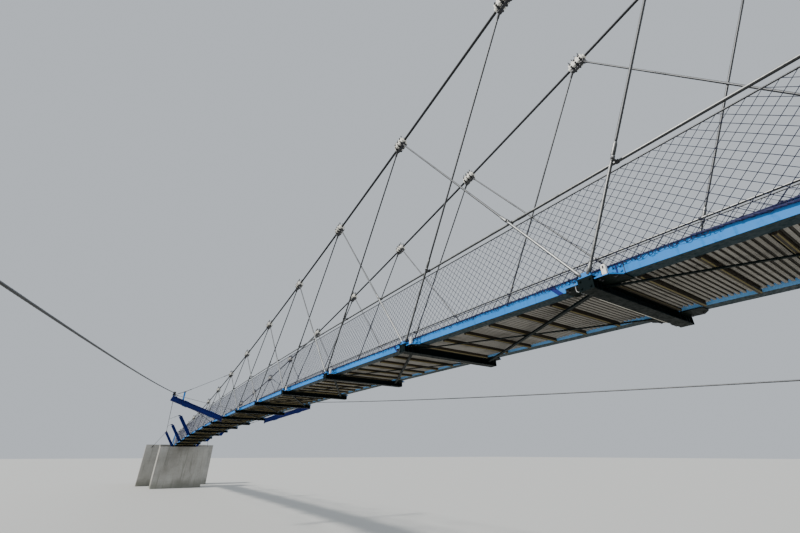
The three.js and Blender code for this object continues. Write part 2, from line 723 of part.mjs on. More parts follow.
function windCable(side) {
  const tip = at(yokeX, side * TIP_POST.y, WIND.tipZ);
  const nearEnd = at(3.7, side * WIND.nearY, WIND.nearZ);
  const middle = tip.clone().add(nearEnd).multiplyScalar(0.5);
  middle.z -= 2 * WIND.sag;
  const turn = at(windFarX, side * OUTRIGGER.topY, windFarZ);
  const farEnd = at(FAR_ANCHOR.front - 8.5, side * WIND.farY, FAR_ANCHOR.cableZ);
  const ties = OUTRIGGER.stations.filter((station) => station < BAYS).flatMap((s) => windTie(s, side));
  const nearRun = new THREE.QuadraticBezierCurve3(nearEnd, middle, tip);
  const cableStart = nearRun.getPoint(0.01);
  const cableEnd = farEnd.clone().lerp(turn, 0.05);
  return joined([
    sweep([cableStart, ...nearRun.getPoints(16).slice(1), turn, cableEnd], WIND.radius),
    windClamp(tip, WIND.tipZ - TIP_POST.top - GAP),
    windClamp(turn, turnRise),
    socket(nearEnd, nearRun.getPoint(0.02), SOCKET.radius * 0.8),
    socket(farEnd, turn, SOCKET.radius * 0.8),
    ...ties,
  ]);
}

// Yoke stays: from the clamp over the inner post to a collar on the tip post, and from the
// collar back to the next crossbeams on both sides
function yokeStays(side) {
  const clampFaceY = side * (CABLE_Y + CLAMP.width / 2 + GAP);
  const clampZ = cableZ(yokeX);
  const eye = at(yokeX, clampFaceY + side * 12, clampZ);
  const over = at(yokeX, side * INNER_POST.y, INNER_POST.top + 18);
  const collarZ = TIP_POST.top - 25;
  const collar = at(yokeX, side * TIP_POST.y, collarZ);
  const half = TIP_POST.width / 2 + GAP;
  const band = half + 14;
  const hole = solidOf(block(yokeX - half, yokeX + half, collar.y - half, collar.y + half, 0, 4000));
  const pieces = [
    block(yokeX - 22, yokeX + 22, clampFaceY, clampFaceY + side * 24, clampZ - 24, clampZ + 24),
    rod(eye, over, STAY_RADIUS),
    block(
      yokeX - 16, yokeX + 16, over.y - 20, over.y + 20, INNER_POST.top + GAP, INNER_POST.top + 28),
    rod(over, collar, STAY_RADIUS),
    block(
      yokeX - band, yokeX + band, collar.y - band, collar.y + band, collarZ - 18, collarZ + 18),
  ];
  for (const step of [-1, 1]) {
    const x = stationX(YOKE_STATION + step);
    const endY = side * (STUB_END_Y + END_PLATE.thick + GAP);
    const end = at(x, endY + side * 8, deckZ(x) - 10);
    pieces.push(block(x - 20, x + 20, endY, endY + side * 16, end.z - 20, end.z + 20));
    pieces.push(rod(end, at(yokeX + step * 24, collar.y, collarZ), STAY_RADIUS));
  }
  return joined(pieces).subtract(hole);
}

for (const [name, side] of sides) {
  place("yoke_arm_" + name, yokeArm(side), bluePaint);
  place("yoke_stays_" + name, yokeStays(side), wireRope);
  place("wind_cable_" + name, windCable(side), wireRope);
}

export default bridge;
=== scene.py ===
import json
import math
import random
from bisect import bisect_right

import bmesh
import bpy
from mathutils import Matrix, Vector


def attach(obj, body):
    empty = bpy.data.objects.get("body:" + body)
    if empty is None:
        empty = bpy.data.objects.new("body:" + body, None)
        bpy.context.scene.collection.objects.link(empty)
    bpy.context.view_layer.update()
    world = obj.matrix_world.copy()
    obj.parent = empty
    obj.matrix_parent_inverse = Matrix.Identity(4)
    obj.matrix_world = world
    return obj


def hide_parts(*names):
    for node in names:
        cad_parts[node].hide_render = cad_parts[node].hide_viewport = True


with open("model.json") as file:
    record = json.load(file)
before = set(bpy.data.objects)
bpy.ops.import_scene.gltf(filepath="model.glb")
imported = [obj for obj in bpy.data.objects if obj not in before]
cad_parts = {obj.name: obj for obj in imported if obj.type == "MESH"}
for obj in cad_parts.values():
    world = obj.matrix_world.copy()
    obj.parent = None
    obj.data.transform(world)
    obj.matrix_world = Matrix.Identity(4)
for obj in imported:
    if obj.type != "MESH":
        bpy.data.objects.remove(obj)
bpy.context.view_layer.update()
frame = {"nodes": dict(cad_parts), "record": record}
print("frame loaded")

# The bridge's own lines, in metres: stations 0 to 16 run from the near pylon to the far bank
bridge = {
    "bay": 1.75, "bays": 16, "span": 28.0,
    "deckNear": 2.284, "deckFar": 1.990, "camber": 0.331,
    "cableNear": 5.911, "cableFar": 2.625, "sag": 0.708, "cableY": 0.54, "girderFace": 0.480,
}
bay, bays, span = bridge["bay"], bridge["bays"], bridge["span"]
sides = {"left": 1, "right": -1}


def deckZ(x):
    t = x / span
    return bridge["deckNear"] * (1 - t) + bridge["deckFar"] * t + 4 * bridge["camber"] * t * (1 - t)


def cableZ(x):
    t = x / span
    return bridge["cableNear"] * (1 - t) + bridge["cableFar"] * t - 4 * bridge["sag"] * t * (1 - t)


def chordZ(x):  # the deck's line, straight from one crossbeam to the next
    station = min(max(math.floor(x / bay), 0), bays - 1)
    low, high = deckZ(station * bay), deckZ((station + 1) * bay)
    return low + (high - low) * (x / bay - station)


def slopeOf(line, x):
    return (line(x + 0.001) - line(x - 0.001)) / 0.002


# Shader maths: a wrapped socket adds a Math node for each sum it takes part in
class Wire:
    def __init__(self, paint, socket):
        self.paint = paint
        self.socket = socket

    def math(self, operation, first, second):
        return self.paint.node("ShaderNodeMath", {"operation": operation}, {0: first, 1: second})

    def __add__(self, other):
        return self.math("ADD", self, other)

    def __sub__(self, other):
        return self.math("SUBTRACT", self, other)

    def __rsub__(self, other):
        return self.math("SUBTRACT", other, self)

    def __mul__(self, other):
        return self.math("MULTIPLY", self, other)

    def __abs__(self):
        return self.paint.node("ShaderNodeMath", {"operation": "ABSOLUTE"}, {0: self})

    __radd__ = __add__
    __rmul__ = __mul__


class Paint:
    def __init__(self, name, **constants):
        self.material = bpy.data.materials.new(name)
        self.material.use_nodes = True
        self.tree = self.material.node_tree
        self.tree.nodes.clear()
        self.shader = self.tree.nodes.new("ShaderNodeBsdfPrincipled")
        out = self.tree.nodes.new("ShaderNodeOutputMaterial")
        self.tree.links.new(self.shader.outputs["BSDF"], out.inputs["Surface"])
        for socket, value in constants.items():
            self.shader.inputs[socket.replace("_", " ")].default_value = value
        self.place = self.node("ShaderNodeTexCoord", output="Object")

    def node(self, kind, settings=None, inputs=None, output=0):
        made = self.tree.nodes.new(kind)
        for setting, value in (settings or {}).items():
            if setting == "stops":
                ramp = made.color_ramp.elements
                while len(ramp) < len(value):
                    ramp.new(0.5)
                for stop, (position, tone) in zip(ramp, value):
                    stop.position = position
                    stop.color = (*tone, 1)
            else:
                setattr(made, setting, value)
        for socket, value in (inputs or {}).items():
            if isinstance(value, Wire):
                self.tree.links.new(value.socket, made.inputs[socket])
            else:
                made.inputs[socket].default_value = value
        return Wire(self, made.outputs[output])

    def stretched(self, scale):
        return self.node("ShaderNodeMapping", {}, {"Vector": self.place, "Scale": scale})

    def noise(self, scale, detail, roughness=0.55, vector=None):
        return self.node("ShaderNodeTexNoise", {}, {
            "Vector": vector or self.place, "Scale": scale, "Detail": detail, "Roughness": roughness})

    def cells(self, scale):
        return self.node("ShaderNodeTexVoronoi", {}, {"Vector": self.place, "Scale": scale}, "Distance")

    def band(self, value, low, high, to=(0.0, 1.0)):  # a value's range, brought to another and held there
        return self.node("ShaderNodeMapRange", {"interpolation_type": "SMOOTHSTEP"}, {
            "Value": value, "From Min": low, "From Max": high, "To Min": to[0], "To Max": to[1]})

    def ramp(self, value, stops):
        return self.node("ShaderNodeValToRGB", {"stops": stops}, {"Fac": value})

    def blend(self, share, first, second):
        tone = [(*c, 1) if isinstance(c, tuple) else c for c in (first, second)]
        return self.node("ShaderNodeMix", {"data_type": "RGBA"}, {0: share, 6: tone[0], 7: tone[1]}, 2)

    def facing(self, axis):  # how far the surface faces along X, Y or Z
        normal = self.node("ShaderNodeNewGeometry", output="Normal")
        return self.node("ShaderNodeSeparateXYZ", {}, {"Vector": normal}, axis)

    def coordinate(self, axis):
        return self.node("ShaderNodeSeparateXYZ", {}, {"Vector": self.place}, axis)

    def feed(self, **wires):
        for socket, value in wires.items():
            self.tree.links.new(value.socket, self.shader.inputs[socket.replace("_", " ")])

    def bump(self, height, distance, strength):
        made = self.node("ShaderNodeBump", {}, {"Height": height, "Distance": distance, "Strength": strength})
        self.feed(Normal=made)


def paintedSteel(name, tone, deep, grimeAndShade, undersideShadeShare, shine, other=None):
    paint = Paint(name, Metallic=0.0, Specular_IOR_Level=shine)
    clouds = paint.noise(1.3, 5)
    fine = paint.noise(55, 3)
    runs = paint.noise(1.0, 4, 0.6, paint.stretched((38, 38, 2.2)))
    shade = paint.band(clouds * 0.7 + fine * 0.15 + runs * 0.15, 0.36, 0.64)
    colour = paint.blend(shade, deep, tone)
    # painted shade: faces that look downward are darkened towards the grime tone
    undersideShade = paint.band(paint.facing(2), -0.25, -0.85)
    spots = paint.band(paint.noise(26, 5, 0.7), 0.62, 0.74)
    dirt = paint.band(runs + fine * 0.3, 0.66, 0.9)
    colour = paint.blend(dirt * 0.25, colour, grimeAndShade)
    if other:  # another blue on one side of a distance from the centreline: painted light on the girders' inner faces, painted shade at the crossbeams' ends
        colour = paint.blend(paint.band(abs(paint.coordinate(1)), *other["edge"]), colour, other["tone"])
    # painted shade on the downward faces, in the share given
    colour = paint.blend(undersideShade * undersideShadeShare, colour, grimeAndShade)
    colour = paint.blend(spots * (0.04 + 0.6 * shine), colour, (0.10, 0.075, 0.045))
    paint.feed(Base_Color=colour, Roughness=paint.band(fine + dirt * 0.4, 0.3, 0.9, (0.42, 0.72)))
    paint.bump(paint.noise(420, 2) * 0.6 + fine * 0.4, 0.0006, 0.35)
    return paint.material


def zincSteel(name, tone, dark, rough, spangle, metallic, shadeBelow=0.0):
    paint = Paint(name, Metallic=metallic)
    flakes = paint.cells(spangle)
    clouds = paint.noise(6, 5)
    colour = paint.blend(paint.band(flakes * 0.5 + clouds * 0.6, 0.2, 0.75), dark, tone)
    stain = paint.band(paint.noise(22, 5, 0.7), 0.6, 0.75)
    colour = paint.blend(stain * 0.3, colour, (0.16, 0.13, 0.10))
    if shadeBelow:  # painted shade on the undersides
        colour = paint.blend(paint.band(paint.facing(2), 0.15, -0.45) * shadeBelow, colour, (0.012, 0.013, 0.014))
    paint.feed(Base_Color=colour, Roughness=paint.band(clouds + flakes * 0.3, 0.35, 0.85, rough))
    paint.bump(flakes + paint.noise(300, 2) * 0.5, 0.0004, 0.3)
    return paint.material


def castConcrete(name):
    paint = Paint(name, Metallic=0.0, Specular_IOR_Level=0.3)
    clouds = paint.noise(0.9, 6, 0.6)
    fine = paint.noise(42, 6, 0.65)
    colour = paint.ramp(clouds * 0.75 + fine * 0.25, [
        (0.34, (0.25, 0.24, 0.215)), (0.5, (0.37, 0.36, 0.33)), (0.66, (0.47, 0.46, 0.43))])
    boards = paint.node(
        "ShaderNodeTexWave", {"wave_type": "BANDS", "bands_direction": "Z", "wave_profile": "SAW"},
        {"Vector": paint.place, "Scale": 2.0, "Distortion": 0.4, "Detail": 2.0, "Detail Scale": 6.0}, 1)
    seam = paint.band(boards, 0.965, 1.0)
    upright = 1 - paint.band(paint.facing(2), 0.3, 0.7)
    runs = paint.band(paint.noise(1.0, 5, 0.6, paint.stretched((9, 9, 0.7))), 0.52, 0.72)
    pores = 1 - paint.band(paint.cells(38), 0.07, 0.14)
    colour = paint.blend(runs * upright * 0.45, colour, (0.13, 0.125, 0.105))
    colour = paint.blend(seam * upright * 0.5, colour, (0.17, 0.165, 0.15))
    damp = paint.band(paint.coordinate(2) + clouds * 0.5, 0.75, 0.3)
    colour = paint.blend(damp * 0.5, colour, (0.12, 0.125, 0.09))
    colour = paint.blend(pores * 0.7, colour, (0.12, 0.115, 0.10))
    paint.feed(Base_Color=colour, Roughness=paint.band(fine, 0.3, 0.7, (0.72, 0.93)))
    paint.bump(fine * 0.6 + boards * 0.25 - seam * upright - pores * 0.8, 0.006, 0.7)
    return paint.material


def weatheredWood(name, tone, dark, stain, shadeInRecesses=False, edge=None):
    paint = Paint(name, Metallic=0.0, Specular_IOR_Level=0.25)
    grain = paint.noise(1.0, 6, 0.7, paint.stretched((260, 7, 260)))
    wide = paint.noise(1.0, 3, 0.5, paint.stretched((7.62, 0.6, 0.2)))
    perMetre, first = 7.619, 1.2686  # boards, each with a tone of its own
    number = paint.node("ShaderNodeMath", {"operation": "FLOOR"}, {0: paint.coordinate(0) * perMetre - first})
    board = paint.node("ShaderNodeTexWhiteNoise", {"noise_dimensions": "1D"}, {"W": number})
    colour = paint.blend(paint.band(grain * 0.55 + wide * 0.25 + board * 0.25, 0.25, 0.8), dark, tone)
    blots = paint.band(paint.noise(3.2, 6, 0.65), 0.5, 0.72)
    colour = paint.blend(blots * 0.55, colour, stain)
    if shadeInRecesses:  # painted shade: the recesses between the ribs are darkened
        section = paint.node("ShaderNodeUVMap", {"uv_map": "profile"})
        depth = paint.node("ShaderNodeSeparateXYZ", {}, {"Vector": section}, 1)
        recess = paint.band(depth, 0.001, 0.012) - paint.band(depth, 0.016, 0.022)
        colour = paint.blend(recess * 0.85, colour, (0.022, 0.018, 0.012))
    if edge:  # painted highlight: the lower corners, cut at a slant, are paler
        slant = abs(paint.facing(0))
        colour = paint.blend(paint.band(slant, 0.4, 0.6) - paint.band(slant, 0.8, 0.95), colour, edge)
    paint.feed(Base_Color=colour, Roughness=paint.band(grain, 0.2, 0.8, (0.62, 0.88)))
    paint.bump(grain, 0.0012, 0.6)
    return paint.material


finishes = {
    "concrete": castConcrete("cast_concrete"),
    "skyBlue": paintedSteel(
        "sky_blue_paint", (0.035, 0.235, 0.64), (0.026, 0.185, 0.53), (0.008, 0.016, 0.012), 0.93, 0.2),
    "girderBlue": paintedSteel(  # paler inside, where light falls in beside the boards
        "girder_paint", (0.035, 0.235, 0.64), (0.026, 0.185, 0.53), (0.004, 0.013, 0.007), 0.97, 0.08,
        {"edge": (0.394, 0.390), "tone": (0.17, 0.44, 0.82)}),
    # the sky blue darkened to navy as painted shade, for the yoke arms and the girders' slits and bands
    "shadeBlue": paintedSteel(
        "navy_painted_shade", (0.007, 0.017, 0.17), (0.005, 0.011, 0.10), (0.006, 0.009, 0.010), 0.85, 0.15),
    "beamShade": paintedSteel(  # painted shade: near black, and navy at the ends of the crossbeams
        "beam_painted_shade", (0.005, 0.010, 0.012), (0.003, 0.007, 0.007), (0.003, 0.006, 0.004), 0.9, 0.03,
        {"edge": (0.570, 0.578), "tone": (0.007, 0.019, 0.17)}),
    # the last number of these three is the share of painted shade on the undersides
    "zinc": zincSteel(
        "galvanised_steel", (0.34, 0.345, 0.34), (0.17, 0.175, 0.175), (0.30, 0.5), 90, 0.7, 0.85),
    "rope": zincSteel("rope_steel", (0.10, 0.105, 0.115), (0.034, 0.036, 0.042), (0.36, 0.6), 160, 0.6, 0.9),
    "hangerRope": zincSteel(
        "hanger_rope_steel", (0.17, 0.175, 0.18), (0.06, 0.063, 0.068), (0.34, 0.54), 160, 0.6, 0.8),
    "casting": zincSteel("pale_casting", (0.84, 0.82, 0.75), (0.60, 0.58, 0.52), (0.45, 0.7), 70, 0.1),
    "darkSteel": zincSteel("dark_fixings", (0.045, 0.046, 0.05), (0.018, 0.018, 0.02), (0.35, 0.6), 120, 0.5),
    # deep navy that also paints the net's shadow on the girder face: painted shadow
    "netRollShadow": zincSteel("rolled_net_painted_shadow", (0.006, 0.009, 0.075), (0.003, 0.005, 0.034), (0.6, 0.8), 200, 0.0),
    "netWire": zincSteel("net_wire", (0.012, 0.016, 0.062), (0.006, 0.008, 0.027), (0.4, 0.6), 200, 0.2),
    "planks": weatheredWood(
        "weathered_planks", (0.38, 0.36, 0.325), (0.21, 0.195, 0.17), (0.085, 0.075, 0.05), True),
    # painted light: the edging, cleats and packing are paled to look lit, though they lie in shade under the
    # deck
    "trimPaintedLight": weatheredWood("edging_painted_light", (0.62, 0.59, 0.52), (0.42, 0.39, 0.33), (0.20, 0.175, 0.12)),
    # the last tone is a painted highlight on the slanted lower corners
    "joists": weatheredWood(
        "stained_joists", (0.034, 0.025, 0.015), (0.016, 0.012, 0.007), (0.012, 0.010, 0.006), False,
        (0.17, 0.14, 0.06)),
}
print("materials ready")

slotOf = {entry["node"]: entry["material_slot"] for entry in frame["record"]["subparts"]}
finishOfSlot = {
    "concrete": "concrete", "blue_paint": "skyBlue", "galvanised": "zinc",
    "wire_rope": "rope", "deck_plank": "planks", "net_wire": "netWire",
}
ownFinish = {"crossbeam": "beamShade", "outrigger": "beamShade", "yoke_arm": "shadeBlue", "girder": "girderBlue"}
for node, shown in frame["nodes"].items():
    own = [finish for start, finish in ownFinish.items() if node.startswith(start)]
    shown.data.materials.clear()
    shown.data.materials.append(finishes[own[0] if own else finishOfSlot[slotOf[node]]])


# Shapes: small forms are kept as meshes and stamped on a pile, which is joined into one piece
def kept(bm):
    bmesh.ops.recalc_face_normals(bm, faces=bm.faces)
    form = bpy.data.meshes.new("form")
    bm.to_mesh(form)
    bm.free()
    return form


def at(place):
    return Matrix.Translation(place)


def tilted(x):  # turned to lie along the deck
    return Matrix.Rotation(-math.atan(slopeOf(chordZ, x)), 4, "Y")


def evenly(start, end, steps):
    return [start + (end - start) * i / steps for i in range(steps + 1)]


def stamp(pile, form, matrix):
    copy = form.copy()
    copy.transform(matrix)
    pile.append(copy)


def spread(pile, form, base, first, second):  # one form at each crossing of two rows
    for x in first:
        for y in second:
            stamp(pile, form, base @ at((x, y, 0)))


def joined(pile):  # in groups, because adding to a small mesh is much quicker than to a large one
    while len(pile) > 1:
        groups = [pile[first:first + 24] for first in range(0, len(pile), 24)]
        pile = []
        for group in groups:
            bm = bmesh.new()
            for form in group:
                bm.from_mesh(form)
                bpy.data.meshes.remove(form)
            form = bpy.data.meshes.new("form")
            bm.to_mesh(form)
            bm.free()
            pile.append(form)
    return pile[0]


def bevelled(bm, width, segments=1):
    if width:
        bmesh.ops.bevel(
            bm, geom=bm.edges[:], offset=width, segments=segments, profile=0.5, affect="EDGES", material=-1)
    return kept(bm)


def boxForm(size, bevel=0.0, segments=1):
    bm = bmesh.new()
    bmesh.ops.create_cube(bm, size=1)
    bmesh.ops.scale(bm, vec=size, verts=bm.verts)
    return bevelled(bm, bevel, segments)


def spunRound(bm, axis, steps):
    bmesh.ops.spin(
        bm, geom=bm.verts[:] + bm.edges[:], cent=(0, 0, 0), axis=axis, angle=math.tau, steps=steps,
        use_merge=True)
    bmesh.ops.remove_doubles(bm, verts=bm.verts, dist=1e-6)


def latheForm(profile, sides):  # pairs of radius and height, turned about Z
    bm = bmesh.new()
    line = [bm.verts.new((radius, 0, height)) for radius, height in profile]
    for pair in zip(line, line[1:]):
        bm.edges.new(pair)
    spunRound(bm, (0, 0, 1), sides)
    return kept(bm)


def spoolForm(half, sides):  # the upper half of a profile, mirrored below
    return latheForm([(radius, -height) for radius, height in reversed(half)] + half, sides)


def prismForm(outline, width, bevel=0.0):  # an outline in X and Z, given a width along Y
    bm = bmesh.new()
    face = bm.faces.new([bm.verts.new((x, -width / 2, z)) for x, z in outline])
    grown = bmesh.ops.extrude_face_region(bm, geom=[face])["geom"]
    bmesh.ops.translate(bm, vec=(0, width, 0), verts=[v for v in grown if isinstance(v, bmesh.types.BMVert)])
    return bevelled(bm, bevel)


def boltForm(radius, height, washer=1.45):
    thick = height * 0.22
    plate = latheForm([(0, 0), (radius * washer, 0), (radius * washer, thick), (0, thick)], 10)
    head = latheForm([(0, 0), (radius, 0), (radius, height * 0.85), (radius * 0.8, height), (0, height)], 6)
    return joined([plate, head])


def lay(place, along):  # local X goes along, and local Z as near up as it can
    x = Vector(along).normalized()
    y = Vector((0, 0, 1)).cross(x).normalized()
    return at(place) @ Matrix((x, y, x.cross(y))).transposed().to_4x4()


def stand(place, axis):  # local Z goes along the axis
    turn = Vector((0, 0, 1)).rotation_difference(Vector(axis).normalized())
    return at(place) @ turn.to_matrix().to_4x4()


def rod(pile, start, end, radius, sides=12):
    start, end = Vector(start), Vector(end)
    bm = bmesh.new()
    bmesh.ops.create_cone(
        bm, cap_ends=True, segments=sides, radius1=radius, radius2=radius,
        depth=(end - start).length, matrix=stand((start + end) / 2, end - start))
    pile.append(kept(bm))


def cable(pile, points, radius, step, lobes=0, twist=1.0):  # a round or stranded cable along a path
    points = [Vector(point) for point in points]
    reach = [0.0]
    for before, after in zip(points, points[1:]):
        reach.append(reach[-1] + (after - before).length)
    stretches = max(1, round(reach[-1] / (40 * step)))  # spun once and laid end to end
    length = reach[-1] / stretches
    steps = math.ceil(length / step)
    turn = math.tau * length / twist if lobes else 0.0
    bm = bmesh.new()
    bmesh.ops.create_circle(
        bm, segments=2 * lobes or 12, radius=radius, matrix=Matrix.Rotation(math.pi / 2, 4, "Y"))
    if lobes:
        bmesh.ops.scale(bm, vec=(1, 0.92, 0.92), verts=bm.verts[:][::2])
    bmesh.ops.spin(
        bm, geom=bm.verts[:] + bm.edges[:], cent=(0, 0, 0), axis=(1, 0, 0),
        dvec=(length / steps, 0, 0), angle=turn, steps=steps)
    stretch = kept(bm)
    parts = []
    for index in range(stretches):
        stamp(parts, stretch, at((length * index, 0, 0)) @ Matrix.Rotation(turn * index, 4, "X"))
    tube = bmesh.new()
    tube.from_mesh(joined(parts))
    bmesh.ops.remove_doubles(tube, verts=tube.verts, dist=1e-5)
    last = len(points) - 1
    runs = [(points[min(i + 1, last)] - points[max(i - 1, 0)]).normalized() for i in range(last + 1)]
    for vert in tube.verts:  # bent from the X axis to the path
        i = min(max(bisect_right(reach, vert.co.x) - 1, 0), last - 1)
        share = (vert.co.x - reach[i]) / (reach[i + 1] - reach[i])
        run = runs[i].lerp(runs[i + 1], share).normalized()
        level = Vector((0, 0, 1)).cross(run).normalized()
        vert.co = points[i].lerp(points[i + 1], share) + level * vert.co.y + run.cross(level) * vert.co.z
    bmesh.ops.holes_fill(tube, edges=[edge for edge in tube.edges if edge.is_boundary], sides=0)
    pile.append(kept(tube))


def shownAs(name, data):
    made = bpy.data.objects.new(name, data)
    bpy.context.scene.collection.objects.link(made)
    return made


def finishPiece(pile, name, finish, replaced=(), sharp=0.6):
    mesh = joined(pile)
    mesh.name = name
    bm = bmesh.new()
    bm.from_mesh(mesh)
    bmesh.ops.recalc_face_normals(bm, faces=bm.faces)
    bm.to_mesh(mesh)
    bm.free()
    mesh.shade_smooth()
    mesh.set_sharp_from_angle(angle=sharp)
    mesh.materials.append(finishes[finish])
    piece = shownAs(name, mesh)
    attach(piece, "root")
    if replaced:
        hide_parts(*replaced)


smallBolt = boltForm(0.006, 0.006)
largeBolt = boltForm(0.012, 0.011)
roundStrands = 1.2  # the angle up to which a rope's strands are shaded as round

# Deck: ribbed boards laid across, on joists between the crossbeams
plank = {
    "pitch": 0.13125, "phase": 0.1665, "gap": 0.0015, "half": 0.378, "rise": 0.0163, "thick": 0.030,
    "recess": 0.0143, "ribs": (0.0313, 0.05985, 0.0884, 0.11695), "ribWidth": 0.0145, "ribEdge": 0.001,
    "groove": 0.0028, "grooveHalf": 0.0007, "grooveDeep": 0.0014, "topGrooves": 9, "topEdge": 0.002,
    "end": 28.2, "lift": 0.0006, "sway": 0.001, "tiltAt": 0.003,
}


def plankOutline():
    gap, recess, edge, cut = plank["gap"], plank["recess"], plank["ribEdge"], plank["topEdge"]
    half, thin, deep = plank["ribWidth"] / 2, plank["grooveHalf"], plank["grooveDeep"]
    line = [(gap, recess)]
    for centre in plank["ribs"]:
        line += [(centre - half, recess), (centre - half, edge), (centre - half + edge, 0)]
        for side in (-1, 1):
            middle = centre + side * plank["groove"]
            line += [(middle - thin, 0), (middle - thin, deep), (middle + thin, deep), (middle + thin, 0)]
        line += [(centre + half - edge, 0), (centre + half, edge), (centre + half, recess)]
    right, top = plank["pitch"] - gap, plank["thick"]
    line += [(right, recess), (right, top - cut), (right - cut, top)]
    spacing = (right - gap) / (plank["topGrooves"] + 1)
    for index in range(plank["topGrooves"]):
        middle = right - spacing * (index + 1)
        line += [(middle + cut + edge, top), (middle + cut, top - cut)]
        line += [(middle - cut, top - cut), (middle - cut - edge, top)]
    return line + [(gap + cut, top), (gap, top - cut)]


def plankForm():
    form = prismForm(plankOutline(), 2 * plank["half"])
    profile = form.uv_layers.new(name="profile")
    for loop in form.loops:  # each corner's place in the section, for the painted shade in the recesses
        corner = form.vertices[loop.vertex_index].co
        profile.data[loop.index].uv = (corner.x, corner.z)
    return form


chance = random.Random(4)
board = plankForm()
boards = []
for index in range(-2, math.floor((plank["end"] - plank["phase"]) / plank["pitch"])):
    x = plank["phase"] + index * plank["pitch"] + plank["pitch"] / 2
    z = chordZ(x) + plank["rise"] + chance.uniform(0, plank["lift"])
    place = at((x, chance.uniform(-plank["sway"], plank["sway"]), z)) @ tilted(x + plank["tiltAt"])
    if index % 2:  # every other board lies the other way round
        place = place @ Matrix.Scale(-1, 4, (1, 0, 0))
    stamp(boards, board, place @ at((-plank["pitch"] / 2, 0, 0)))
finishPiece(boards, "deck_planks", "planks", [f"deck_section_{i}" for i in range(1, 5)])

joist = {
    "pitch": 0.2625, "width": 0.020, "low": -0.0087, "high": 0.030, "chamfer": 0.005, "clear": 0.062,
    "cleatY": 0.3838, "cleatRise": 0.026, "edgingX": 0.052, "edgingRise": 0.008,
    "packingX": 0.0415, "packingRise": -0.0525,
}
half, low, high, cut = joist["width"] / 2, joist["low"], joist["high"], joist["chamfer"]
joistBar = prismForm(
    [(-half, low + cut), (-half + cut, low), (half - cut, low), (half, low + cut), (half, high), (-half, high)],
    2 * plank["half"])
cleat = boxForm((0.046, 0.014, 0.012), 0.0015)
edging = boxForm((0.018, 2 * plank["half"], 0.014), 0.001)
packing = boxForm((0.008, 2 * plank["half"], 0.006), 0.001)
bars, trimPaintedLight = [], []
x = plank["phase"]
while x < span:
    if abs(x - bay * round(x / bay)) > joist["clear"]:
        stamp(bars, joistBar, at((x, 0, chordZ(x))) @ tilted(x))
    for side in (1, -1):
        stamp(trimPaintedLight, cleat, at((x, side * joist["cleatY"], chordZ(x) + joist["cleatRise"])))
    x += joist["pitch"]
for station in range(bays + 1):
    middle = station * bay
    # the edging after each crossbeam takes the pale trim, painted light; the one before it takes the joists'
    # dark finish
    for way, pile in ((-1, bars), (1, trimPaintedLight)):
        x = middle + way * joist["edgingX"]
        stamp(pile, edging, at((x, 0, chordZ(x) + joist["edgingRise"])))
    stamp(trimPaintedLight, packing, at((middle + joist["packingX"], 0, deckZ(middle) + joist["packingRise"])))
finishPiece(bars, "deck_joists", "joists")
finishPiece(trimPaintedLight, "deck_edging", "trimPaintedLight")
print("deck ready")

# Nets: bent wires hooked into each other, a cable along both edges and loops along the foot
net = {
    "cell": 0.0276, "wire": 0.0018, "over": 0.0008, "levels": 19, "foot": 0.0585, "out": 0.0045,
    "start": -0.19, "end": 28.19, "step": 0.175, "cable": 0.0034, "cableRise": 0.0625, "topCable": 0.0046,
    "top": 0.582, "loop": 0.0021, "loopOut": 0.003, "loopRise": 0.0655, "loopDrop": 0.006,
    "loopLean": 0.6, "loopTurn": 0.4, "loopGap": (0.013, 0.034),
    "loops": ((0.032, 0.016), (0.026, 0.020), (0.038, 0.013), (0.020, 0.015)),
}
roll = {"radius": 0.0062, "end": 3.02, "drop": 0.028, "fade": 0.6, "out": 0.005, "step": 0.02, "twist": 0.16}


def netStrand(way):
    bm = bmesh.new()
    bmesh.ops.create_circle(bm, segments=3, radius=net["wire"])
    bmesh.ops.scale(bm, vec=(math.sqrt(2), 1, 1), verts=bm.verts)
    bmesh.ops.translate(bm, vec=(-way * net["cell"] / 2, -way * net["over"], 0), verts=bm.verts)
    edges = bm.edges[:]
    for level in range(net["levels"]):
        grown = bmesh.ops.extrude_edge_only(bm, edges=edges)["geom"]
        verts = [item for item in grown if isinstance(item, bmesh.types.BMVert)]
        edges = [item for item in grown if isinstance(item, bmesh.types.BMEdge)]
        edges = [edge for edge in edges if set(edge.verts) <= set(verts)]
        bmesh.ops.translate(bm, vec=(way * net["cell"], way * 2 * net["over"], net["cell"]), verts=verts)
        way = -way
    bmesh.ops.holes_fill(bm, edges=[edge for edge in bm.edges if edge.is_boundary], sides=0)
    return kept(bm)


def loopForm(width, height):  # an oval of wire that hangs from its top
    ring = 0.01
    bm = bmesh.new()
    bmesh.ops.create_circle(
        bm, segments=3, radius=net["loop"], matrix=at((ring, 0, 0)) @ Matrix.Rotation(math.pi / 2, 4, "X"))
    spunRound(bm, (0, 1, 0), 8)
    bmesh.ops.scale(bm, vec=(width / (2 * ring), 1, height / (2 * ring)), verts=bm.verts)
    bmesh.ops.translate(bm, vec=(0, 0, -height / 2), verts=bm.verts)
    return kept(bm)


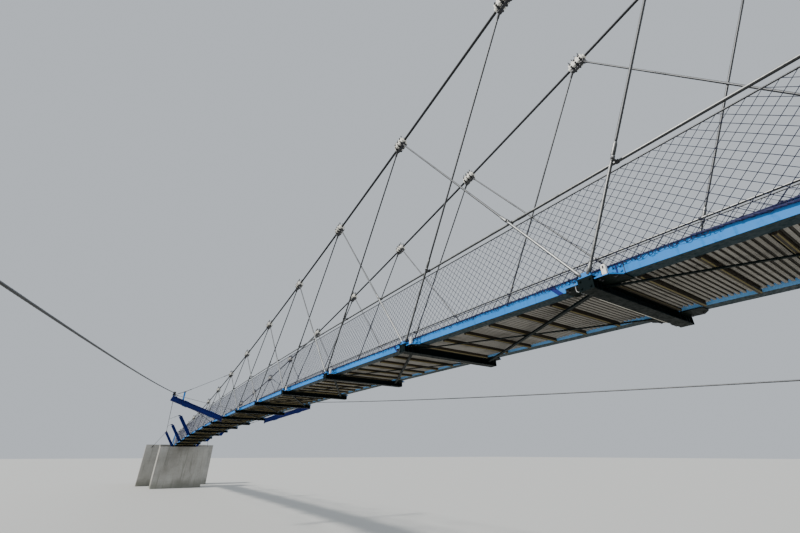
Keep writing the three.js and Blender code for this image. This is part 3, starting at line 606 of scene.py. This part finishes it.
strands = [netStrand(1), netStrand(-1)]
loops = [loopForm(*size) for size in net["loops"]]
strandCount = round((net["end"] - net["start"]) / net["cell"])
for name, side in sides.items():
    y = side * (bridge["girderFace"] + net["out"])
    for part, first in enumerate((0, strandCount // 2)):
        pile = []
        for index in range(first, first + strandCount // 2):
            x = net["start"] + (index + 0.5) * net["cell"]
            stamp(pile, strands[index % 2], at((x, y, chordZ(x) + net["foot"])))
        finishPiece(pile, f"net_mesh_{name}_{part + 1}", "netWire", ["net_" + name])
    upper, lower, rolled = [], [], []
    along = evenly(net["start"], net["end"], 160)
    cable(upper, [(x, y, chordZ(x) + net["top"]) for x in along], net["topCable"], net["step"])
    finishPiece(upper, "net_top_cable_" + name, "hangerRope", ["net_" + name])
    cable(lower, [(x, y, chordZ(x) + net["cableRise"]) for x in along], net["cable"], net["step"])
    path = []
    for x in evenly(net["start"], roll["end"], 40):  # spare net, rolled up along the foot beside the pylon; its deep navy also makes a painted shadow band on the girder face
        drop = roll["drop"] * min((roll["end"] - x) / roll["fade"], 1)
        path.append((x, y + side * roll["out"], chordZ(x) + net["cableRise"] - drop))
    cable(rolled, path, roll["radius"], roll["step"], 5, roll["twist"])
    finishPiece(rolled, "net_roll_" + name, "netRollShadow")
    x = net["start"]
    while x < net["end"]:
        lean = Matrix.Rotation(chance.uniform(-net["loopLean"], net["loopLean"]), 4, "Y")
        turn = Matrix.Rotation(chance.uniform(-net["loopTurn"], net["loopTurn"]), 4, "Z")
        z = chordZ(x) + net["loopRise"] - chance.uniform(0, net["loopDrop"])
        stamp(lower, chance.choice(loops), at((x, y + side * net["loopOut"], z)) @ lean @ turn)
        x += chance.uniform(*net["loopGap"])
    # the foot cable and loops in the same deep navy, which also paints their shadows on the girder face
    finishPiece(lower, "net_cables_" + name, "netRollShadow", ["net_" + name])
print("nets ready")

# Main cables: backstay, bend over the pylon, span, bend over the far saddle, tail
mainRope = {
    "radius": 0.0145, "lobes": 12, "twist": 0.42, "step": 0.04, "nearBend": 0.25, "farBend": 0.15,
    "farSaddle": 28.6, "backSlope": 0.732, "backEnd": -5.0, "tailEnd": 29.9995, "blockX": 30.0, "tailZ": 1.93,
    "drop": 0.002,
}


def bendPoints(start, corner, end, steps):  # a curve that leaves both runs smoothly
    start, corner, end = Vector(start), Vector(corner), Vector(end)
    return [start.lerp(corner, share).lerp(corner.lerp(end, share), share) for share in evenly(0, 1, steps)]


def mainPath(y):
    near, far, saddle = mainRope["nearBend"], mainRope["farBend"], mainRope["farSaddle"]
    back, tail = mainRope["backEnd"], mainRope["tailEnd"]
    cornerZ = cableZ(near) - slopeOf(cableZ, near) * near
    farCorner = cableZ(saddle - far) + slopeOf(cableZ, saddle - far) * far
    tailSlope = (mainRope["tailZ"] - farCorner) / (mainRope["blockX"] - saddle)
    path = [Vector((back, y, cornerZ + mainRope["backSlope"] * back))]
    path += bendPoints(
        (-near, y, cornerZ - mainRope["backSlope"] * near), (0, y, cornerZ), (near, y, cableZ(near)), 10)
    path += [Vector((x, y, cableZ(x))) for x in evenly(near, saddle - far, 90)[1:-1]]
    path += bendPoints(
        (saddle - far, y, cableZ(saddle - far)), (saddle, y, farCorner),
        (saddle + far, y, farCorner + tailSlope * far), 6)
    path.append(Vector((tail, y, farCorner + tailSlope * (tail - saddle))))
    return path


# A poured socket: a collar, a cone and a threaded rod with two nuts, standing on its bearing plate
def socketForm(scale):
    cup = [(0, 0), (0.034, 0), (0.034, 0.012), (0.0205, 0.013), (0.0205, 0.055), (0.024, 0.056), (0.024, 0.16),
           (0.0205, 0.175), (0.0155, 0.215), (0.0135, 0.217), (0, 0.217)]
    return latheForm([(radius * scale, height * scale) for radius, height in cup], 20)


mainSocket = socketForm(1.0)
windSocket = socketForm(0.8)
for name, side in sides.items():
    path = [point - Vector((0, 0, mainRope["drop"])) for point in mainPath(side * bridge["cableY"])]
    ropes, sockets = [], []
    cable(ropes, path, mainRope["radius"], mainRope["step"], mainRope["lobes"], mainRope["twist"])
    finishPiece(ropes, "main_rope_" + name, "rope", ["main_cable_" + name], roundStrands)
    stamp(sockets, mainSocket, stand(path[0], path[1] - path[0]))
    stamp(sockets, mainSocket, stand(path[-1], path[-2] - path[-1]))
    finishPiece(sockets, "main_sockets_" + name, "zinc", ["main_cable_" + name])
print("main cables ready")

# Hangers: a rod up to the handrail, a rope above it, and clamps on the main cable
hanger = {
    "shift": {1: 0.2, 2: 0.125, 3: 0.045, 4: -0.03, 5: -0.1, 6: -0.07}, "oddY": 0.533, "evenY": 0.547,
    "foot": 0.0348, "footReach": 0.023, "earReach": 0.055, "earDrop": 0.046, "rod": 0.0088,
    "rope": 0.0090, "twist": 0.16, "seatY": 0.537, "lugGap": 0.013, "shortRod": 0.35,
    "rodFrom": 0.05, "rodTo": 0.02, "swage": 0.012, "ropeFrom": 0.08, "ropeTo": 0.05,
    "railY": 0.503, "railRise": 0.612, "railRadius": 0.0092,
}
clamp = {
    "wide": 1.85, "narrowFrom": 13, "rings": 0.082, "ribs": 0.024, "bolts": (-0.050, 0.0, 0.050),
    "face": 0.023, "faceRow": 0.0145, "top": 0.028, "topRow": 0.0145,
    "prongs": (-0.055, -0.018, 0.018, 0.055), "prongRow": 0.012, "prongFoot": 0.027,
}


def clampX(station):
    return station * bay + hanger["shift"].get(station, 0.0)


def hangersAt(station, side):  # each rod's foot and top, and where it passes the handrail, if it does
    deck = deckZ(station * bay)
    for way in (-1, 1):
        if 1 <= station + way < bays:
            y = side * hanger["oddY" if station % 2 else "evenY"]
            foot = Vector((station * bay + way * hanger["footReach"], y, deck + hanger["foot"]))
            x = clampX(station + way) - way * hanger["earReach"]
            ear = Vector((x, y, cableZ(x) - hanger["earDrop"]))
            share = (deck + hanger["railRise"] - foot.z) / (ear.z - foot.z)
            yield foot, ear, foot.lerp(ear, share) if share < 0.9 else None


fork = latheForm(
    [(0, 0), (0.0100, 0.0), (0.0122, 0.004), (0.0122, 0.030), (0.0098, 0.044), (0.0089, 0.058), (0, 0.058)], 12)
swage = latheForm([(0, 0), (0.0112, 0), (0.0118, 0.004), (0.0118, 0.060), (0.009, 0.075), (0, 0.075)], 12)
clevis = spoolForm([(0.021, 0.017), (0.019, 0.020), (0, 0.020)], 14)
lugPlate = prismForm(
    [(-0.034, 0), (0.034, 0), (0.034, 0.014), (0.026, 0.029), (-0.026, 0.029), (-0.034, 0.014)], 0.006, 0.0008)
lugSeat = boxForm((0.082, 0.036, 0.004), 0.0008)
lugPin = spoolForm([(0.0055, 0.0165), (0.0085, 0.017), (0.0085, 0.020), (0, 0.020)], 12)
clampBody = boxForm((0.150, 0.046, 0.056), 0.007, 2)
clampEar = prismForm(
    [(-0.077, -0.055), (-0.066, -0.066), (0.066, -0.066), (0.077, -0.055), (0.077, -0.024), (-0.077, -0.024)],
    0.030, 0.003)
clampRing = spoolForm([(0.027, 0.005), (0.025, 0.008), (0.0148, 0.008)], 18)
clampRib = boxForm((0.010, 0.052, 0.062), 0.002)
clampBolt = boltForm(0.0085, 0.010, 1.3)
prong = latheForm(
    [(0, 0), (0.0075, 0), (0.0075, 0.007), (0.0042, 0.008), (0.0042, 0.040), (0.0032, 0.044), (0, 0.044)], 8)
for name, side in sides.items():
    ropes, rods, plates, castings, fixings = ([] for _ in range(5))
    for station in range(1, bays):
        x, z = station * bay, deckZ(station * bay) + plank["rise"]
        stamp(plates, lugSeat, at((x, side * hanger["seatY"], z + 0.001)))
        for way in (-1, 1):
            stamp(plates, lugPlate, at((x, side * (hanger["seatY"] + way * hanger["lugGap"]), z)))
        for foot, ear, meet in hangersAt(station, side):
            run = (ear - foot).normalized()
            meet = meet or foot.lerp(ear, hanger["shortRod"])
            stamp(rods, fork, stand(foot, run))
            stamp(fixings, lugPin, stand((foot.x, side * hanger["seatY"], foot.z), (0, 1, 0)))
            rod(rods, foot + run * hanger["rodFrom"], meet + run * hanger["rodTo"], hanger["rod"])
            stamp(rods, swage, stand(meet + run * hanger["swage"], run))
            rope = [meet + run * hanger["ropeFrom"], ear - run * hanger["ropeTo"]]
            cable(ropes, rope, hanger["rope"], 0.03, 6, hanger["twist"])
            stamp(fixings, swage, stand(ear, -run))
            stamp(fixings, clevis, stand(ear, (0, 1, 0)))
        x = clampX(station)
        turn = lay((x, side * bridge["cableY"], cableZ(x)), (1, 0, slopeOf(cableZ, x)))
        wide = clamp["wide"] if station < clamp["narrowFrom"] else 1.0  # where the handrail passes close by
        broad = turn @ Matrix.Diagonal((1, wide, 0.65 + 0.35 * wide, 1))
        stamp(castings, clampBody, broad)
        stamp(fixings, clampEar, turn)
        for end in (-1, 1):
            stamp(castings, clampRing, turn @ stand((end * clamp["rings"], 0, 0), (1, 0, 0)))
            stamp(castings, clampRib, broad @ at((end * clamp["ribs"], 0, 0)))
            for along in clamp["bolts"]:
                for row in (-1, 1):
                    spot = (along, end * clamp["face"] * wide, row * clamp["faceRow"] * wide ** 0.5)
                    stamp(fixings, clampBolt, turn @ stand(spot, (0, end, 0)))
                    spot = (along, row * clamp["topRow"], end * clamp["top"])
                    stamp(fixings, clampBolt, broad @ stand(spot, (0, 0, end)))
        row = clamp["prongRow"]
        spread(fixings, prong, broad @ at((0, 0, clamp["prongFoot"])), clamp["prongs"], (-row, row))
    nodes = [f"hangers_{name}_odd", f"hangers_{name}_even"]
    finishPiece(ropes, "hanger_ropes_" + name, "hangerRope", nodes, roundStrands)
    finishPiece(rods, "hanger_rods_" + name, "zinc", nodes)
    finishPiece(plates, "hanger_lugs_" + name, "skyBlue", nodes)
    finishPiece(castings, "cable_clamps_" + name, "casting", nodes)
    finishPiece(fixings, "hanger_fixings_" + name, "darkSteel", nodes)
print("hangers ready")

# Handrails: a jointed tube, a bracket at each rod and a post at each end
rail = {
    "start": -0.255, "end": 28.255, "post": 0.030, "joint": 3.5, "jointStart": 0.35, "joints": 7,
    "pathNear": 2.330, "pathFar": 2.036, "postFoot": 0.004, "plateRise": 0.0045, "boltRise": 0.008,
    "bolts": (-0.035, 0.035), "arm": 0.0062, "gripBolt": 0.009,
}
sleeve = spoolForm([(0.0112, 0.035), (0.0090, 0.036)], 18)
collar = spoolForm([(0.0132, 0.007), (0.0122, 0.009), (0.0090, 0.009)], 16)
grip = spoolForm([(0.0104, 0.013), (0.0096, 0.015), (0, 0.015)], 12)
railCap = latheForm([(0, 0), (0.0090, 0), (0.0096, 0.002), (0.007, 0.006), (0, 0.007)], 18)
footPlate = boxForm((0.100, 0.100, 0.008), 0.001)


def railZ(x):
    return deckZ(x) + hanger["railRise"]


for name, side in sides.items():
    y = side * hanger["railY"]
    tube, brackets = [], []
    cable(tube, [(x, y, railZ(x)) for x in evenly(rail["start"], rail["end"], 120)], hanger["railRadius"], 0.12)
    for index in range(1, rail["joints"] + 1):
        x = index * rail["joint"] + rail["jointStart"]
        stamp(tube, sleeve, stand((x, y, railZ(x)), (1, 0, slopeOf(railZ, x))))
    for x, way, base in ((rail["start"], -1, rail["pathNear"]), (rail["end"], 1, rail["pathFar"])):
        centre = x - way * rail["post"] / 2
        rod(tube, (centre, y, base + rail["postFoot"]), (centre, y, railZ(centre)), rail["post"] / 2, 16)
        stamp(tube, footPlate, at((centre, y, base + rail["plateRise"])))
        stamp(tube, railCap, stand((x, y, railZ(x)), (way, 0, 0)))
        spread(brackets, smallBolt, at((centre, y, base + rail["boltRise"])), rail["bolts"], rail["bolts"])
    for station in range(1, bays):
        for foot, ear, meet in hangersAt(station, side):
            if meet:
                place = Vector((meet.x, y, railZ(meet.x)))
                pin = Vector((meet.x, meet.y, place.z))
                stamp(brackets, collar, stand(place, (1, 0, slopeOf(railZ, meet.x))))
                stamp(tube, grip, stand(pin, ear - foot))
                rod(tube, place, pin, rail["arm"], 10)
                stamp(brackets, smallBolt, stand(pin + Vector((0, side * rail["gripBolt"], 0)), (0, side, 0)))
    finishPiece(tube, "rail_tube_" + name, "zinc", ["handrail_" + name])
    finishPiece(brackets, "rail_brackets_" + name, "darkSteel", ["handrail_" + name])
print("handrails ready")

# Wind cables, with their clamps on the yoke and the far posts
wind = {
    "near": (0.004, 3.8, 2.1), "tip": (14.0, 1.79, 2.972), "sag": 0.085, "turn": (28.0, 1.04),
    "far": (29.9915, 1.45, 1.93), "rise": 0.6843, "radius": 0.009, "step": 0.05, "twist": 0.34,
    "straps": (-0.042, 0.042), "tipBolts": 0.023, "turnBolts": (-0.012, 0.012), "turnRise": 0.033,
    "posts": (12, 14), "postY": 1.04, "postRise": 0.6503,
    "eye": (0.066, 0.014), "plate": (0.031, 0.0138), "plateBolts": (0.004, 0.026), "plateRise": 0.027,
}
yoke = {
    "stay": 0.005, "twist": 0.12, "clampY": 0.5763, "innerPost": (1.56, 3.018), "ring": 2.925,
    "ringHalf": 0.0268, "stayRing": 0.024, "footY": 0.5673, "footDrop": 0.010, "capDrop": 0.004,
    "footBolts": (-0.013, 0.013), "footBolt": (0.012, 0.008),
}
saddleClip = boxForm((0.120, 0.050, 0.042), 0.006, 2)
tipStrap = boxForm((0.024, 0.058, 0.046), 0.003)
turnClip = boxForm((0.120, 0.050, 0.066), 0.006, 2)
eyePlate = boxForm((0.040, 0.082, 0.027), 0.004)
stayEnd = latheForm(
    [(0, 0), (0.0075, 0), (0.009, 0.004), (0.009, 0.034), (0.0062, 0.048), (0.0062, 0.110), (0.0085, 0.112),
     (0.0085, 0.150), (0.0056, 0.162), (0, 0.162)], 12)
ringSide = boxForm((0.070, 0.013, 0.034), 0.002)
stayFoot = boxForm((0.040, 0.016, 0.040), 0.003)
clampFoot = boxForm((0.044, 0.024, 0.048), 0.004, 2)
topCap = boxForm((0.032, 0.040, 0.026), 0.004, 2)
for name, side in sides.items():
    steel, clips = [], []
    near, tip, far = (Vector((x, side * y, z)) for x, y, z in (wind["near"], wind["tip"], wind["far"]))
    turn = Vector((wind["turn"][0], side * wind["turn"][1], deckZ(span) + wind["rise"]))
    middle = (near + tip) / 2 - Vector((0, 0, 2 * wind["sag"]))
    path = bendPoints(near, middle, tip, 60) + [tip.lerp(turn, i / 20) for i in range(1, 21)]
    path += [turn.lerp(far, i / 4) for i in range(1, 5)]
    cable(steel, path, wind["radius"], wind["step"], 8, wind["twist"])
    stamp(clips, windSocket, stand(near, path[1] - near))
    stamp(clips, windSocket, stand(far, turn - far))
    stamp(clips, saddleClip, at(tip))
    stamp(clips, turnClip, at(turn))
    spread(clips, tipStrap, at(tip), wind["straps"], (0,))
    spread(clips, smallBolt, at(tip + Vector((0, 0, wind["tipBolts"]))), wind["straps"], (0,))
    spread(clips, smallBolt, at(turn + Vector((0, 0, wind["turnRise"]))), wind["straps"], wind["turnBolts"])
    for station in wind["posts"]:
        x = station * bay
        top = Vector((x, side * wind["postY"], deckZ(x) + wind["postRise"]))
        meet = tip.lerp(turn, (x - tip.x) / (turn.x - tip.x))
        eye = top + Vector((0, side * wind["eye"][0], wind["eye"][1]))
        rod(steel, eye, meet, yoke["stay"], 10)
        stamp(clips, eyePlate, at(top + Vector((0, side * wind["plate"][0], wind["plate"][1]))))
        stamp(clips, stayEnd, stand(eye, meet - eye))
        stamp(clips, collar, stand(meet, turn - tip))
        for out in wind["plateBolts"]:
            stamp(clips, smallBolt, at(top + Vector((0, side * out, wind["plateRise"]))))
    finishPiece(steel, "wind_rope_" + name, "hangerRope", ["wind_cable_" + name], roundStrands)
    finishPiece(clips, "wind_clamps_" + name, "darkSteel", ["wind_cable_" + name])

    # Yoke stays: from the main cable over the inner post to a ring on the tip, and down to two crossbeams
    steel, clips = [], []
    eye = Vector((tip.x, side * yoke["clampY"], cableZ(tip.x)))
    over = Vector((tip.x, side * yoke["innerPost"][0], yoke["innerPost"][1]))
    ring = Vector((tip.x, tip.y, yoke["ring"]))
    runs = [(eye, over), (over, ring)]
    stamp(clips, clampFoot, at(eye))
    stamp(clips, topCap, at(over - Vector((0, 0, yoke["capDrop"]))))
    for quarter in range(4):
        turned = at(ring) @ Matrix.Rotation(quarter * math.pi / 2, 4, "Z")
        stamp(clips, ringSide, turned @ at((0, yoke["ringHalf"], 0)))
    for way in (-1, 1):
        x = tip.x + way * bay
        foot = Vector((x, side * yoke["footY"], deckZ(x) - yoke["footDrop"]))
        runs.append((foot, ring + Vector((way * yoke["stayRing"], 0, 0))))
        stamp(clips, stayFoot, at(foot))
        outside = stand(foot + Vector((yoke["footBolt"][0], side * yoke["footBolt"][1], 0)), (0, side, 0))
        spread(clips, smallBolt, outside, (0,), yoke["footBolts"])
    for start, end in runs:
        cable(steel, [start, end], yoke["stay"], 0.03, 6, yoke["twist"])
        stamp(clips, stayEnd, stand(start, end - start))
        stamp(clips, stayEnd, stand(end, start - end))
    finishPiece(steel, "yoke_ropes_" + name, "rope", ["yoke_stays_" + name], roundStrands)
    finishPiece(clips, "yoke_fittings_" + name, "darkSteel", ["yoke_stays_" + name])
print("wind cables ready")

# Girder faces: a joint, a slit, a lug and a slanting band by each crossbeam, with their bolts; the slit and the
# band are thin plates in the navy of painted shade, and the lug's slot a dark block of painted shade
face = {  # the first three: along, out and up
    "joint": (-0.171, 0.0006, 0.034), "slit": (-0.134, 0.0006, 0.036), "band": (0.228, 0.0016, 0.034),
    "bandWidth": 0.034, "bandLean": 0.032, "height": 0.068, "past": 0.05, "tiltAt": 0.3,
    "lug": -0.098, "lugY": 0.531, "lugSlot": 0.043,
    "studs": (-0.155, -0.118, 0.100, 0.135), "studRows": (0.018, 0.046),
    "bolts": (-0.130, -0.060, 0.060, 0.130), "boltRows": (0.500, 0.525),
    "boltEnds": ((-0.007, -1), (-0.001, 1)),
}
seam = boxForm((0.0035, 0.0022, face["height"] - 0.002))
slit = boxForm((0.0075, 0.0022, 0.050), 0.0004)
lean, high = face["bandLean"], face["height"] / 2 - 0.0005
left, right = -face["bandWidth"] / 2, face["bandWidth"] / 2
bandPlate = prismForm(
    [(left - lean, -high), (right - lean, -high), (right + lean, high), (left + lean, high)], 0.004, 0.0006)
lugBlock = prismForm(
    [(-0.013, 0), (0.013, 0), (0.013, 0.051), (0.007, 0.060), (-0.007, 0.060), (-0.013, 0.051)], 0.018, 0.0015)
lugSlot = boxForm((0.0085, 0.0205, 0.016), 0.0004)


def placesAt(x, shifts):  # the shifted places that are still on the girder
    return [x + shift for shift in shifts if -face["past"] < x + shift < span + face["past"]]


for name, side in sides.items():
    dark, bands, lugs, marks, studs = ([] for _ in range(5))
    y = side * bridge["girderFace"]
    for station in range(bays + 1):
        x = station * bay
        tilt = tilted(x - face["tiltAt"] if station else x + face["tiltAt"])
        for item, form, pile in (("joint", seam, marks), ("slit", slit, dark), ("band", bandPlate, bands)):
            along, out, rise = face[item]
            for place in placesAt(x, [along]):
                stamp(pile, form, at((place, y + side * out, chordZ(place) + rise)) @ tilt)
        for place in placesAt(x, [face["lug"]]):
            stamp(lugs, lugBlock, at((place, side * face["lugY"], chordZ(place))))
            stamp(marks, lugSlot, at((place, side * face["lugY"], chordZ(place) + face["lugSlot"])))
        for place in placesAt(x, face["studs"]):
            for rise in face["studRows"]:
                stamp(studs, smallBolt, stand((place, y, chordZ(place) + rise), (0, side, 0)))
        for place in placesAt(x, face["bolts"]):
            for out in face["boltRows"]:
                if place - x > -0.12 or out < 0.51:  # one would stand where the slit is
                    for rise, way in face["boltEnds"]:
                        stamp(marks, smallBolt, stand((place, side * out, chordZ(place) + rise), (0, 0, way)))
    finishPiece(dark, "girder_slits_" + name, "shadeBlue")
    finishPiece(bands, "girder_bands_" + name, "shadeBlue")
    finishPiece(lugs, "girder_lugs_" + name, "casting")
    finishPiece(marks, "girder_bolts_" + name, "darkSteel")
    finishPiece(studs, "girder_studs_" + name, "girderBlue")

# Crossbeams: stiffeners between the flanges, bolted end plates, gusset rims and U-bolts round the stubs
beam = {
    "stiffeners": (0.392, 0.474, 0.512), "web": 0.0205, "middle": -0.020, "endFace": 0.559, "yokeStation": 8,
    "bolts": ((-0.026, 0.026), (-0.020, 0.020)), "rimX": 0.081, "rimY": 0.5455,
    "slantX": 0.1425, "slantY": 0.5130, "slant": 0.965, "rimDrop": 0.0028,
    "uBoltX": 0.052, "uBolts": (0.497, 0.540), "uBoltDrop": 0.030,
}
stiffener = boxForm((0.034, 0.006, 0.0575), 0.001)
bow, leg = 0.016, 0.046
archPath = [(bow * math.cos(math.pi * i / 8), 0, bow * math.sin(math.pi * i / 8)) for i in range(9)]
uBolt = []
cable(uBolt, [(bow, 0, -leg)] + archPath + [(-bow, 0, -leg)], 0.0028, 0.010)
uBolt = joined(uBolt)
gussetEdge = boxForm((0.076, 0.003, 0.0066), 0.0006)
gussetSlant = boxForm((0.074, 0.003, 0.0066), 0.0006)
ribs, ends, plateBolts, edges = [], [], [], []
for station in range(bays + 1):
    x, z = station * bay, deckZ(station * bay)
    for side in (1, -1):
        for way in (-1, 1):
            if 0 < station < bays:
                spot = x + way * beam["rimX"]
                tilt = tilted(spot)
                stamp(edges, gussetEdge, at((spot, side * beam["rimY"], chordZ(spot) - beam["rimDrop"])) @ tilt)
                spot = x + way * beam["slantX"]
                rim = at((spot, side * beam["slantY"], chordZ(spot) - beam["rimDrop"])) @ tilt
                stamp(edges, gussetSlant, rim @ Matrix.Rotation(-way * side * beam["slant"], 4, "Z"))
            for out in beam["stiffeners"]:
                stamp(ribs, stiffener, at((x + way * beam["web"], side * out, z + beam["middle"])))
        if station != beam["yokeStation"]:  # the yoke arm covers that plate
            plate = stand((x, side * beam["endFace"], z + beam["middle"]), (0, side, 0))
            spread(plateBolts, smallBolt, plate, *beam["bolts"])
        for out in beam["uBolts"]:
            hung = at((x + beam["uBoltX"], side * out, z - beam["uBoltDrop"]))
            stamp(ends, uBolt, hung @ Matrix.Rotation(math.pi, 4, "Y"))
finishPiece(ribs, "beam_stiffeners", "beamShade")
finishPiece(ends, "beam_bolts", "zinc")
finishPiece(plateBolts, "plate_bolts", "beamShade")
finishPiece(edges, "gusset_edges", "skyBlue")
print("steelwork ready")

# Yoke arms: splice plates, bolts at the root and a sleeve over each post
arm = {
    "x": 14.0, "rootY": 0.553, "rootDrop": 0.060, "tipY": 1.830, "tipZ": 2.845, "splices": (0.30, 0.98),
    "faces": 0.064, "boltStep": (-0.040, -0.014, 0.014, 0.040), "boltRow": (-0.015, 0.015),
    "rootFace": 0.5673, "rootBolts": (-0.120, -0.090, 0.008), "rootRow": (-0.032, 0.032),
    "boltFace": 0.004,
    "sleeves": ((1.79, 2.899, 2.9505, 0.042), (1.56, 2.822, 3.0005, 0.038)),  # place, foot, top and width
}
splice = boxForm((0.062, 0.120, 0.008), 0.0015)
armPlates, armBolts = [], []
for side in (1, -1):
    root = Vector((arm["x"], side * arm["rootY"], deckZ(arm["x"]) - arm["rootDrop"]))
    run = (Vector((arm["x"], side * arm["tipY"], arm["tipZ"])) - root).normalized()
    across = Vector((-side, 0, 0))
    up = run.cross(across).normalized()
    turned = Matrix((across, run, up)).transposed().to_4x4()
    for along in arm["splices"]:
        for way in (-1, 1):
            centre = root + run * along + up * (way * arm["faces"])
            stamp(armPlates, splice, at(centre) @ turned)
            outside = stand(centre + up * (way * arm["boltFace"]), up * way)
            spread(armBolts, smallBolt, outside, arm["boltRow"], arm["boltStep"])
    for rise in arm["rootBolts"]:
        spot = (arm["x"], side * arm["rootFace"], deckZ(arm["x"]) + rise)
        spread(armBolts, smallBolt, stand(spot, (0, side, 0)), arm["rootRow"], (0,))
    for y, low, high, width in arm["sleeves"]:
        stamp(armPlates, boxForm((width, width, high - low), 0.002), at((arm["x"], side * y, (low + high) / 2)))
finishPiece(armPlates, "yoke_splices", "skyBlue")
finishPiece(armBolts, "yoke_bolts", "zinc")

# Pylon: stiffened base plates, crosshead straps and holding-down bolts; bearing plates on the concrete
pylon = {
    "footY": 0.720, "topY": 0.590, "base": 2.242, "top": 5.610, "wingX": 0.068, "wingY": 0.045,
    "footBolts": ((-0.098, 0.098), (-0.080, 0.0, 0.080)), "strap": 0.079, "strapFace": 0.085,
    "strapBolts": ((-0.045, 0.045), (-0.035, 0.035)), "bearingBolts": (-0.068, 0.068),
    "bearing": 0.006, "bearingBack": -0.002,
}
wing = prismForm([(0, 0), (0.060, 0), (0.012, 0.140), (0, 0.140)], 0.010, 0.001)
strap = boxForm((0.012, 0.120, 0.150), 0.002)
bearing = boxForm((0.180, 0.180, 0.016), 0.003)
plates, bolts = [], []
for side in (1, -1):
    foot = at((0, side * pylon["footY"], pylon["base"]))
    for axis in (0, math.pi):
        wings = foot @ Matrix.Rotation(axis, 4, "Z")
        spread(plates, wing, wings, (pylon["wingX"],), (-pylon["wingY"], pylon["wingY"]))
    spread(bolts, largeBolt, foot, *pylon["footBolts"])
    for end in (-1, 1):
        y = side * pylon["topY"]
        stamp(plates, strap, at((end * pylon["strap"], y, pylon["top"])))
        outside = stand((end * pylon["strapFace"], y, pylon["top"]), (end, 0, 0))
        spread(bolts, largeBolt, outside, *pylon["strapBolts"])
    path = mainPath(side * bridge["cableY"])
    for place, run in ((path[0], path[0] - path[1]), (path[-1], path[-1] - path[-2])):
        turned = stand(place, run)
        stamp(plates, bearing, turned @ at((0, 0, pylon["bearing"])))
        inside = turned @ at((0, 0, pylon["bearingBack"])) @ Matrix.Rotation(math.pi, 4, "X")
        spread(bolts, largeBolt, inside, pylon["bearingBolts"], pylon["bearingBolts"])
finishPiece(plates, "pylon_plates", "skyBlue")
finishPiece(bolts, "holding_bolts", "zinc")
print("pylon ready")

# Floor, light and camera
studio = {
    "floor": 400.0, "floorTone": (0.52, 0.52, 0.50), "floorRoughness": 0.9,
    "skyTone": (0.80, 0.86, 0.93), "skyLight": 0.70,
    "lamps": {
        "key": {"from": (0.15, 0.75, 0.62), "power": 4.2, "angle": 5, "tone": (1.0, 0.97, 0.92)},
        "fill": {"from": (-0.5, -0.6, 0.5), "power": 0.5, "angle": 30, "tone": (0.9, 0.95, 1.0)},
    },
    "camera": {
        "place": (2.5395, 2.3284, 1.5794), "lens": 16.70, "sensor": 36, "reach": 500,
        "up": (-0.37886, 0.24465, 0.89253), "forward": (0.75006, -0.48376, 0.45098),
    },
}
bm = bmesh.new()
bmesh.ops.create_grid(bm, x_segments=1, y_segments=1, size=studio["floor"] / 2)
floorMesh = bpy.data.meshes.new("studio_floor")
bm.to_mesh(floorMesh)
bm.free()
floorPaint = Paint("pale_floor", Roughness=studio["floorRoughness"], Base_Color=(*studio["floorTone"], 1))
floorMesh.materials.append(floorPaint.material)
shownAs("studio_floor", floorMesh)

world = bpy.data.worlds.new("studio")
bpy.context.scene.world = world
world.use_nodes = True
backdrop = world.node_tree.nodes["Background"]
backdrop.inputs["Color"].default_value = (*studio["skyTone"], 1)
backdrop.inputs["Strength"].default_value = studio["skyLight"]

for name, lamp in studio["lamps"].items():
    data = bpy.data.lights.new(name, "SUN")
    data.energy = lamp["power"]
    data.angle = math.radians(lamp["angle"])
    data.color = lamp["tone"]
    light = shownAs(name, data)
    light.rotation_mode = "QUATERNION"
    light.rotation_quaternion = Vector(lamp["from"]).to_track_quat("Z", "Y")

view = studio["camera"]
cameraData = bpy.data.cameras.new("photo_view")
cameraData.lens = view["lens"]
cameraData.sensor_width = view["sensor"]
cameraData.clip_end = view["reach"]
camera = shownAs("photo_view", cameraData)
ahead = Vector(view["forward"]).normalized()
across = ahead.cross(Vector(view["up"])).normalized()
turn = Matrix((across, across.cross(ahead), -ahead)).transposed()
camera.matrix_world = at(view["place"]) @ turn.to_4x4()
bpy.context.scene.camera = camera
